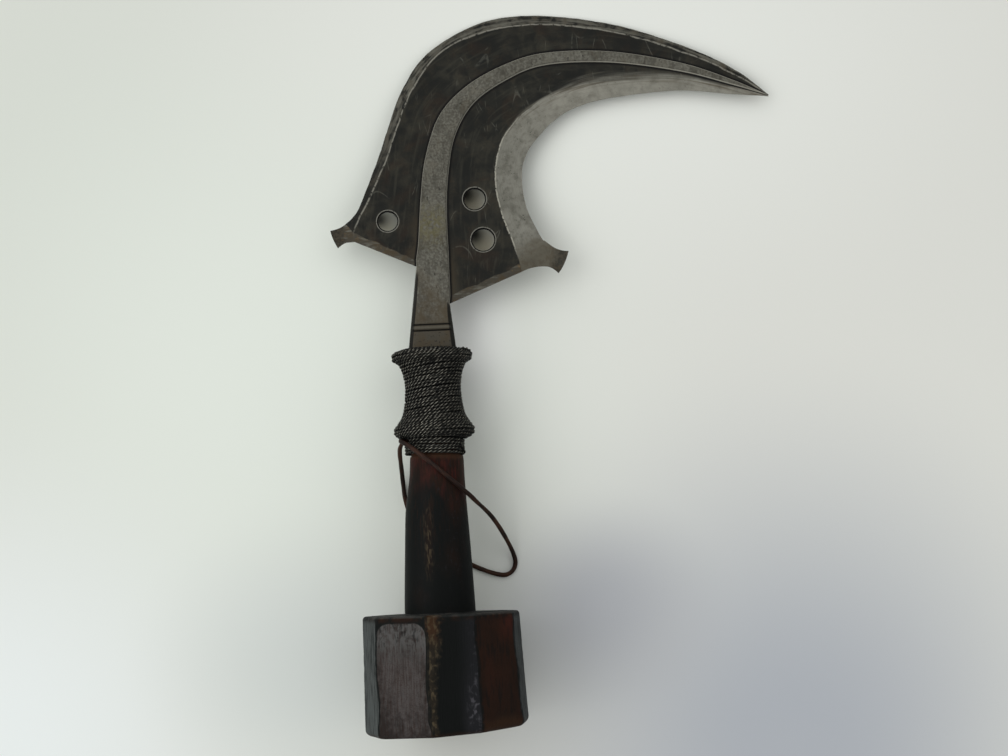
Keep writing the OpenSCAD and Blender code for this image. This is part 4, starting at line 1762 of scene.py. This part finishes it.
                    # scratches and painted glints, growing towards the facet's lower end and far
                    # side
                    made["scuff"][row, facet] = far * mix(0.5, 1.3, down**2.5)
                if k == self.glowing_facet:
                    high, wide = 1 - eased(0, 0.2, down), eased(0.45, 0.95, run / width)
                    made["glow"][row, facet] = 0.4 + 0.3 * high * wide
        streak = np.exp(-(((x - self.streak_x) / self.streak_w) ** 2)) * (z > 0)
        made["rim"] = np.abs(y - self.front_y + 0.6)
        made["heel"] = np.abs(y - (self.end_y + x * math.tan(math.radians(self.slant))))
        made["place"] = y.copy()
        made["streak"] = streak
        for none, full in self.streak_ends:
            made["streak"] = made["streak"] * eased(none, full, y)
        return made

    def shaved_mark(self, run: Array, width: float, y: Array) -> Array:
        """Measures one facet's grey shaved field, which has round corners.

        Args:
            run: Distances across the facet.
            width: Width of the facet.
            y: Places on the axis.

        Returns:
            The distance to the field's edge.
        """
        q_x = np.abs(run - width / 2) - (width / 2 - self.shaved_rim) + self.shaved_round
        q_y = np.abs(y - self.shaved_y) - self.shaved_half + self.shaved_round
        outside = np.hypot(np.maximum(q_x, 0), np.maximum(q_y, 0))
        return outside + np.minimum(np.maximum(q_x, q_y), 0) - self.shaved_round

    def carved(self, points: Array, marks: dict[str, Array]) -> Array:
        """Wears the surface inwards: hewn strokes, chipped corners and an uneven grip.

        Args:
            points: Rings of points.
            marks: The marks on them.

        Returns:
            The worn points.
        """
        x, y, z = (points[..., i] for i in range(3))
        reach = np.hypot(x, z)
        pommel = eased(self.front_y + 0.2, self.front_y - 1.5, y) * (reach > 20)
        strokes = self.strokes * (1 + ripple(points, self.stroke_size, 2.9))
        chips = np.clip(ripple(points, self.chip_size, 6.1), 0.05, 1) - 0.05
        corner = np.exp(-((marks["arris"] / 1.1) ** 2))
        rim = np.exp(-((marks["rim"] / 1.4) ** 2))
        splinter = np.exp(-((marks["arris"] / 2.0) ** 2)) * (np.abs(x + 6) < 4) * (z > 0)
        chipped = self.chips * corner + self.chips * rim + self.splinters * splinter
        grip = (1 - pommel) * (y < -52) * (reach < 19)
        depth = pommel * (strokes + chips * chipped)
        depth = depth + grip * self.strokes * (1 + ripple(points, self.grip_size, 4.4))
        share = 1 - depth / np.maximum(reach, 1)
        made = points.copy()
        made[..., 0] *= share
        made[..., 2] *= share
        return made

    def build(self, rest: Rest) -> bpy.types.Object:
        """Builds the wood and its finish.

        Args:
            rest: The knife's pose.

        Returns:
            The finished piece.
        """
        points, outlines = self.rings()
        marks = self.marks(points, outlines)
        shell = self.closed(Patch(self.carved(points, marks), marks))
        piece = shell.build("handle_wood", self.sharp)
        bored(piece, [self.thong_cutter(a) for a in self.thong_angles], self.sharp)
        piece.data.transform(rest.matrix())
        piece.data.materials.append(HewnWood().material(rest))
        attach(piece, BODY)
        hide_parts("handle")
        return piece

    @staticmethod
    def closed(patch: Patch) -> Shell:
        """Closes rings whose first and last shrink to a point.

        Args:
            patch: The rings.

        Returns:
            The shell.
        """
        rows, columns = patch.points.shape[:2]
        last = (rows - 1) * columns
        faces = []
        for face in patch.faces(0, around=True):
            corners = dict.fromkeys(0 if i < columns else min(i, last) for i in face)
            faces.append(tuple(corners)[::-1])
        used = sorted({i for face in faces for i in face})
        number = {old: new for new, old in enumerate(used)}
        faces = [tuple(number[i] for i in face) for face in faces]
        marks = {name: values.reshape(-1)[used] for name, values in patch.marks.items()}
        return Shell(patch.points.reshape(-1, 3)[used], faces, marks)

    def thong_cutter(self, angle: float) -> bpy.types.Object:
        """Makes the round shape that bores one of the thong's holes.

        Args:
            angle: The hole's angle round the axis, in degrees.

        Returns:
            The shape.
        """
        r, turn, deep, sides = self.thong_hole_d / 2, math.radians(angle), 9.0, 32
        cutter = turned("thong_bore", ((r, 0), (r, deep)), sides)
        out = Vector((math.cos(turn), 0, math.sin(turn)))
        cutter.rotation_mode = "QUATERNION"
        cutter.rotation_quaternion = out.to_track_quat("Z", "Y")
        cutter.location = Vector((0, self.thong_y, 0)) + out * self.thong_hole_in
        return cutter


@dataclass(frozen=True)
class WireSizes:
    """Sizes of the twisted pair of wires.

    lay is the length of one full twist, spacing that of one step along the wire, and pitch the
    distance from one turn to the next.
    """

    strand: float = 0.92
    lay: float = 4.3
    spacing: float = 0.44
    sides: int = 5
    unevenness: float = 0.12
    gap: float = 0.22
    pitch: float = 1.58


class TwistTree:
    """Geometry nodes that lay two strands round a line and twist them together."""

    FLOATS = ("Strand", "Lay", "Spacing", "Unevenness")
    SEED = 7.0
    SHAKE = 0.21
    SCALE = {"operation": "SCALE"}

    def __init__(self) -> None:
        """Builds the tree."""
        self.tree = bpy.data.node_groups.new("twisted_pair", "GeometryNodeTree")
        self.graph = Graph(self.tree)
        self.socket("Line", "Geometry")
        for name in self.FLOATS:
            self.socket(name, "Float")
        self.socket("Sides", "Int")
        self.socket("Finish", "Material")
        self.socket("Wire", "Geometry", "OUTPUT")
        self.wire()

    def socket(self, name: str, kind: str, way: str = "INPUT") -> None:
        """Adds a named input or output to the tree."""
        self.tree.interface.new_socket(name, in_out=way, socket_type=f"NodeSocket{kind}")

    def step(self, kind: str, inputs: dict | None = None, **settings: str) -> Signal:
        """Adds one geometry node and takes its first output."""
        return self.graph.out(self.graph.node(f"GeometryNode{kind}", settings, inputs))

    def stored(self, shape: Signal, name: str, value: Signal, kind: str) -> Signal:
        """Keeps a value on the points of a shape."""
        given = {"Geometry": shape, "Name": name, "Value": value}
        return self.step("StoreNamedAttribute", given, data_type=kind, domain="POINT")

    def wire(self) -> None:
        """Adds the nodes from the line to the finished wire."""
        g = self.graph
        given = g.node("NodeGroupInput")
        strand, lay = g.out(given, "Strand"), g.out(given, "Lay")
        cut = {"Curve": g.out(given, "Line"), "Length": g.out(given, "Spacing")}
        spaced = self.step("ResampleCurve", cut, mode="LENGTH")
        place, tangent = self.step("InputPosition"), self.step("InputTangent")
        away = g.vector("NORMALIZE", g.vector("MULTIPLY", place, (1.0, 0.0, 1.0)))
        side = g.vector("NORMALIZE", g.vector("CROSS_PRODUCT", tangent, away))
        up = g.vector("CROSS_PRODUCT", side, tangent)
        cloud = {"Vector": place, "W": self.SEED, "Scale": self.SHAKE, "Detail": 1.0}
        shaken = g.out(g.node("ShaderNodeTexNoise", {"noise_dimensions": "4D"}, cloud), "Fac")
        uneven = (shaken - 0.5) * g.out(given, "Unevenness") * 4
        length = g.out(g.node("GeometryNodeSplineParameter"), "Length")
        ring = {"Resolution": g.out(given, "Sides"), "Radius": strand / 2}
        circle = self.step("CurvePrimitiveCircle", ring, mode="RADIUS")
        both = self.step("JoinGeometry")
        for start in (0.0, math.pi):
            phase = start - length / lay * (2 * math.pi)
            rise = self.scaled(up, g.maths("COSINE", phase) * (strand / 2) + uneven)
            swing = self.scaled(side, g.maths("SINE", phase) * (strand / 2))
            shift = {"Geometry": spaced, "Offset": g.vector("ADD", rise, swing)}
            line = self.stored(self.step("SetPosition", shift), "away", away, "FLOAT_VECTOR")
            tube = {"Curve": line, "Profile Curve": circle, "Fill Caps": True}
            self.tree.links.new(self.step("CurveToMesh", tube).socket, both.socket.node.inputs[0])
        outward = self.step("InputNamedAttribute", {"Name": "away"}, data_type="FLOAT_VECTOR")
        crest = g.vector("DOT_PRODUCT", self.step("InputNormal"), outward, output=1)
        marked = self.stored(both, "crest", crest, "FLOAT")
        smooth = self.step("SetShadeSmooth", {"Geometry": marked})
        real = self.step("RealizeInstances", {"Geometry": smooth})
        dressed = {"Geometry": real, "Material": g.out(given, "Finish")}
        g.node("NodeGroupOutput", None, {"Wire": self.step("SetMaterial", dressed)})

    def scaled(self, vector: Signal, amount: Signal) -> Signal:
        """Scales a vector by a number."""
        values = {0: vector, "Scale": amount}
        return self.graph.out(self.graph.node("ShaderNodeVectorMath", self.SCALE, values))

    def apply(self, line: bpy.types.Object, sizes: WireSizes, finish: bpy.types.Material) -> None:
        """Puts the tree on a line's object with its sizes.

        Args:
            line: A curve object.
            sizes: Sizes of the wire.
            finish: The wire's material.
        """
        live = line.modifiers.new("twisted_pair", "NODES")
        live.node_group = self.tree
        given = {name: getattr(sizes, name.lower()) for name in (*self.FLOATS, "Sides")}
        given["Finish"] = finish
        for item in self.tree.interface.items_tree:
            if item.in_out == "INPUT" and item.name in given:
                live[item.identifier] = given[item.name]


@dataclass
class Winding:
    """Turns of twisted wire round the handle.

    profile follows the wood from the first turn to the last, start is the angle of the first
    turn, skew the tilt of the turns, and aside how far they lie to the right.
    """

    name: str
    node: str
    profile: Array
    start: float
    skew: float
    oval: float
    sizes: WireSizes
    aside: float = -0.55
    wobble: float = 0.36
    wobbles: Table = ((1.6, 3.3), (7.0, 9.1))
    turn_steps: int = 64
    loose_ends: Table = ()

    def line(self) -> Array:
        """Lays the turns, which follow the wood and tilt a little across it.

        Returns:
            Their middle line.
        """
        tangent = np.gradient(self.profile, axis=0)
        tangent /= np.linalg.norm(tangent, axis=1)[:, None]
        out = np.column_stack([-tangent[:, 1], tangent[:, 0]])
        raised = self.profile + (self.sizes.strand + self.sizes.gap) * out
        run = arc_lengths(raised)
        turns = run[-1] / self.sizes.pitch
        share = np.linspace(0, 1, int(turns * self.turn_steps))
        angle = np.radians(self.start) - 2 * np.pi * turns * share
        middle = 1 - (2 * share - 1) ** 4
        place = run[-1] * share
        radius = np.interp(place, run, raised[:, 0])
        tilt = math.tan(math.radians(self.skew)) * radius * np.cos(angle) * middle
        way = np.column_stack([angle * 2.2, np.zeros((len(angle), 2))])
        wobble = self.wobble * sum(ripple(way, *sizes) for sizes in self.wobbles) * middle
        place = np.clip(place - tilt + wobble, 0, run[-1])
        radius = np.interp(place, run, raised[:, 0])
        y = np.interp(place, run, raised[:, 1])
        across = radius * np.cos(angle) + self.aside
        return np.column_stack([across, y, self.oval * radius * np.sin(angle)])

    def build(self, tree: TwistTree, rest: Rest, finish: bpy.types.Material) -> bpy.types.Object:
        """Builds the winding.

        Args:
            tree: The geometry nodes of the twisted pair.
            rest: The knife's pose.
            finish: The wire's material.

        Returns:
            The finished piece, a plain mesh.
        """
        curve = bpy.data.curves.new(self.name, "CURVE")
        curve.dimensions = "3D"
        for points in (self.line(), *(spline(np.array(end, float), 8) for end in self.loose_ends)):
            strip = curve.splines.new("POLY")
            strip.points.add(len(points) - 1)
            strip.points.foreach_set("co", np.column_stack([points, np.ones(len(points))]).ravel())
        live = put(self.name + "_line", curve)
        tree.apply(live, self.sizes, finish)
        mesh = plain_mesh(live, self.name)
        bpy.data.objects.remove(live)
        mesh.transform(rest.matrix())
        piece = put(self.name, mesh)
        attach(piece, BODY)
        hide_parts(self.node)
        return piece


@dataclass
class Thong:
    """Limp hide thong, from the handle's side over the grip, along the table and back.

    The heights of route are over the table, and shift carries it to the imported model's frame.
    flat, tip and fold shape the strip's section, which twist_pitch turns.
    """

    route: Table = (
        (-11.2, -45.5, 28.4), (-13.5, -45.4, 28.9), (-15.8, -45.3, 30.3), (-17.1, -45.2, 32.8),
        (-16.8, -45.4, 35.6), (-15.1, -46.1, 37.7), (-12.8, -47.6, 38.9), (-9.2, -50.2, 40),
        (-4.5, -54, 41), (0.5, -58.4, 41.5), (5, -62.6, 41.2), (9, -66.3, 39.8),
        (12.6, -69.8, 37.2), (15.8, -73.2, 33.6), (19, -77, 29.2), (22.4, -80.8, 24.6),
        (25.8, -85.2, 19.6), (29, -90.6, 14.4), (31.8, -96.2, 9.6), (34.2, -101.6, 5.6),
        (36, -106.6, 2.8), (36.6, -110.6, 1.4), (35.4, -114.2, 1), (32.4, -116.4, 1),
        (28.4, -116.4, 1), (21.6, -114.2, 1), (13.6, -110.4, 1), (5.4, -105, 1),
        (-2.6, -98.4, 1), (-10.2, -91.2, 1), (-15.8, -83.4, 1), (-18, -76, 1.1),
        (-18.6, -69, 2.4), (-18.8, -62.4, 6), (-18.9, -56.6, 11), (-18.9, -52.4, 15),
        (-18.4, -49.2, 18.4), (-17, -47, 21), (-14.6, -46.1, 22.4), (-11.2, -46.1, 23.1),
    )
    wide: float = 2.0
    shift: tuple[float, float] = (-63.0, 11.48)
    flat: tuple[float, float] = (0.9, 1.17)
    sides: int = 14
    twist_pitch: float = 31.0
    tip: float = 0.3
    fold: float = 0.06
    sharp: float = 50.0

    def path(self) -> Array:
        """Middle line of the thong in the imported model's frame.

        Returns:
            Its points in metres.
        """
        points = spline(np.array(self.route, float), 6)
        points[:, 2] = np.maximum(points[:, 2], 0.52 * self.wide)
        return (points + [*self.shift, 0]) * MM

    def build(self) -> bpy.types.Object:
        """Returns:
            The finished piece.
        """
        path = self.path()
        run = arc_lengths(path)
        step = np.gradient(path, axis=0)
        tangent = step / np.linalg.norm(step, axis=1)[:, None]
        side = np.array([0.0, 0.0, 1.0])
        a = np.arange(self.sides) * 2 * np.pi / self.sides
        high, wide = np.cos(a) * self.flat[0], np.sin(a) * self.flat[1]
        rings, strip = [], []
        for i, t in enumerate(tangent):
            side = side - (side @ t) * t
            side /= np.linalg.norm(side)
            other = np.cross(t, side)
            roll = 2 * np.pi * run[i] / (self.twist_pitch * MM)
            tip = self.tip * math.sin(roll)
            reach = self.wide / 2 * MM * (1 - self.fold * np.cos(a - roll) ** 8)
            up = reach * (math.cos(tip) * high - math.sin(tip) * wide)
            over = reach * (math.sin(tip) * high + math.cos(tip) * wide)
            rings.append(path[i] + up[:, None] * side + over[:, None] * other)
            along = np.full(self.sides, run[i] / MM)
            strip.append(np.column_stack([along, (a - roll) / (2 * np.pi)]))
        patch = Patch(np.array(rings), {})
        count = len(rings) * self.sides
        first, last = tuple(range(self.sides)), tuple(range(count - self.sides, count))
        faces = [(d, a, b, c) for a, b, c, d in patch.faces(0, around=True)] + [first[::-1], last]
        piece = Shell(patch.points.reshape(-1, 3), faces, {}).build("hide_thong", self.sharp)
        self.lay_strip(piece.data, np.array(strip))
        piece.data.materials.append(Hide().material())
        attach(piece, BODY)
        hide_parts("thong")
        self.wide * MM
        return piece

    def lay_strip(self, mesh: bpy.types.Mesh, strip: Array) -> None:
        """Adds coordinates along the thong in millimetres and round it in turns.

        Args:
            mesh: The thong's mesh.
            strip: The coordinates of every ring.
        """
        layer = mesh.uv_layers.new(name="strip")
        flat = strip.reshape(-1, 2)
        for face in mesh.polygons:
            corners = np.array([flat[mesh.loops[i].vertex_index] for i in face.loop_indices])
            if len(corners) == 4:
                corners[:, 1] -= np.round(corners[:, 1] - corners[0, 1])
            for i, uv in zip(face.loop_indices, corners):
                layer.data[i].uv = uv


@dataclass
class Studio:
    """Camera, pale table and soft light from the upper left.

    Each glow of the room has its axis, where it starts, where it is full, and its strength.
    """

    eye: Point = (-0.0281, -0.005, 0.85)
    roll: float = -2.5
    lens: float = 59.52
    table_half: float = 3.0
    aim: Point = (0.0, 0.0, 0.02)
    window: Point = (-1.4, 0.2, 1.4)
    window_size: float = 1.3
    window_watts: float = 5.6
    window_tint: Colour = (1.0, 1.0, 0.98)
    room_tint: Colour = (0.985, 1.0, 1.0)
    glows: Table = (
        ("Z", 0.97, 0.8, 0.68), ("X", 0.1, -0.3, 0.605), ("Y", -0.1, 0.3, 0.455),
        ("Z", 0.75, 0.45, 0.345),
    )
    horizon: Point = (0.12, 0.66, 0.06)

    def build_camera(self) -> None:
        """Makes the camera, which looks straight down as the photograph's did."""
        data = bpy.data.cameras.new("camera")
        data.lens = self.lens
        data.sensor_width = 36.0
        data.clip_start, data.clip_end = 0.01, 20.0
        camera = put("camera", data)
        camera.location = self.eye
        camera.rotation_euler = (0.0, 0.0, math.radians(self.roll))
        bpy.context.scene.camera = camera

    def build_table(self) -> None:
        """Makes the table."""
        h = self.table_half
        mesh = bpy.data.meshes.new("table")
        mesh.from_pydata([(-h, -h, 0), (h, -h, 0), (h, h, 0), (-h, h, 0)], [], [(0, 1, 2, 3)])
        mesh.materials.append(TableTop().material())
        table = put("table", mesh)

    def build_window(self) -> None:
        """Makes the one soft square lamp, which points at the knife."""
        data = bpy.data.lights.new("window", "AREA")
        data.shape = "SQUARE"
        data.size = self.window_size
        data.energy = self.window_watts
        data.color = self.window_tint
        lamp = put("window", data)
        lamp.location = self.window
        aim = Vector(self.aim) - Vector(self.window)
        lamp.rotation_mode = "QUATERNION"
        lamp.rotation_quaternion = aim.to_track_quat("-Z", "Y")

    def build_light(self) -> None:
        """Makes the lamp and the pale room, and sets the plain view transform."""
        self.build_window()
        world = bpy.data.worlds.new("room")
        world.use_nodes = True
        g = Graph(world.node_tree)
        way = g.out(g.node("ShaderNodeTexCoord"), "Generated")
        parted = g.node("ShaderNodeSeparateXYZ", None, {0: way})
        glows = (g.rise(g.out(parted, a), low, high) * s for a, low, high, s in self.glows)
        low, high, least = self.horizon
        room = sum(glows) * (least + (1 - least) * g.rise(g.out(parted, "Z"), low, high))
        glow = {"Color": (*self.room_tint, 1.0), "Strength": room}
        pale = g.node("ShaderNodeBackground", None, glow)
        g.node("ShaderNodeOutputWorld", None, {"Surface": g.out(pale)})
        bpy.context.scene.world = world
        bpy.context.scene.view_settings.view_transform = "Standard"


def report(piece: bpy.types.Object) -> None:
    """Logs one finished piece."""
    LOG.info("%s: %d faces", piece.name, len(piece.data.polygons))


def main() -> None:
    """Builds the scene, piece by piece."""
    logging.basicConfig(level=logging.INFO, format="%(name)s: %(message)s")
    blade, handle, sizes = Blade(), Handle(), WireSizes()
    rest = Rest.of_record(frame["record"], "left_wing_bore", (*blade.holes[0].at, 0.0))
    studio = Studio()
    studio.build_camera()
    report(Thong().build())
    studio.build_table()
    studio.build_light()
    report(blade.build(rest))
    report(handle.build(rest))
    tree, finish = TwistTree(), BindingIron().material()
    spool = spline(np.array(handle.head, float), 12)[6:]
    binding = Winding("twisted_binding", "binding_wire", spool, 215.0, 9.0, handle.oval, sizes)
    binding.loose_ends = (
        ((-16.5, -2.4, 4.4), (-18.3, -2.6, 3.4), (-19.6, -3.6, 2), (-19.4, -5, 1.2),
         (-18.2, -5.9, 1.6)),
        ((14.6, -1.6, 6.4), (17, -1.9, 4.8), (18.5, -2.9, 3.2), (18.8, -4.4, 2),
         (17.9, -5.6, 2.2)),
    )
    report(binding.build(tree, rest, finish))
    seat = spline(np.array([[13.2, -45.9], [12.9, -49.5], [12.8, -53.4]]), 8)
    collar = Winding("twisted_collar", "collar_wire", seat, 148.0, 0.0, handle.oval, sizes)
    collar.aside = -0.8
    collar.loose_ends = (
        ((11.9, -49.4, 6.2), (13.2, -50.8, 5), (13.6, -52.6, 3.8), (12.4, -53.8, 3.6)),
    )
    report(collar.build(tree, rest, finish))


if __name__ == "__main__":
    main()
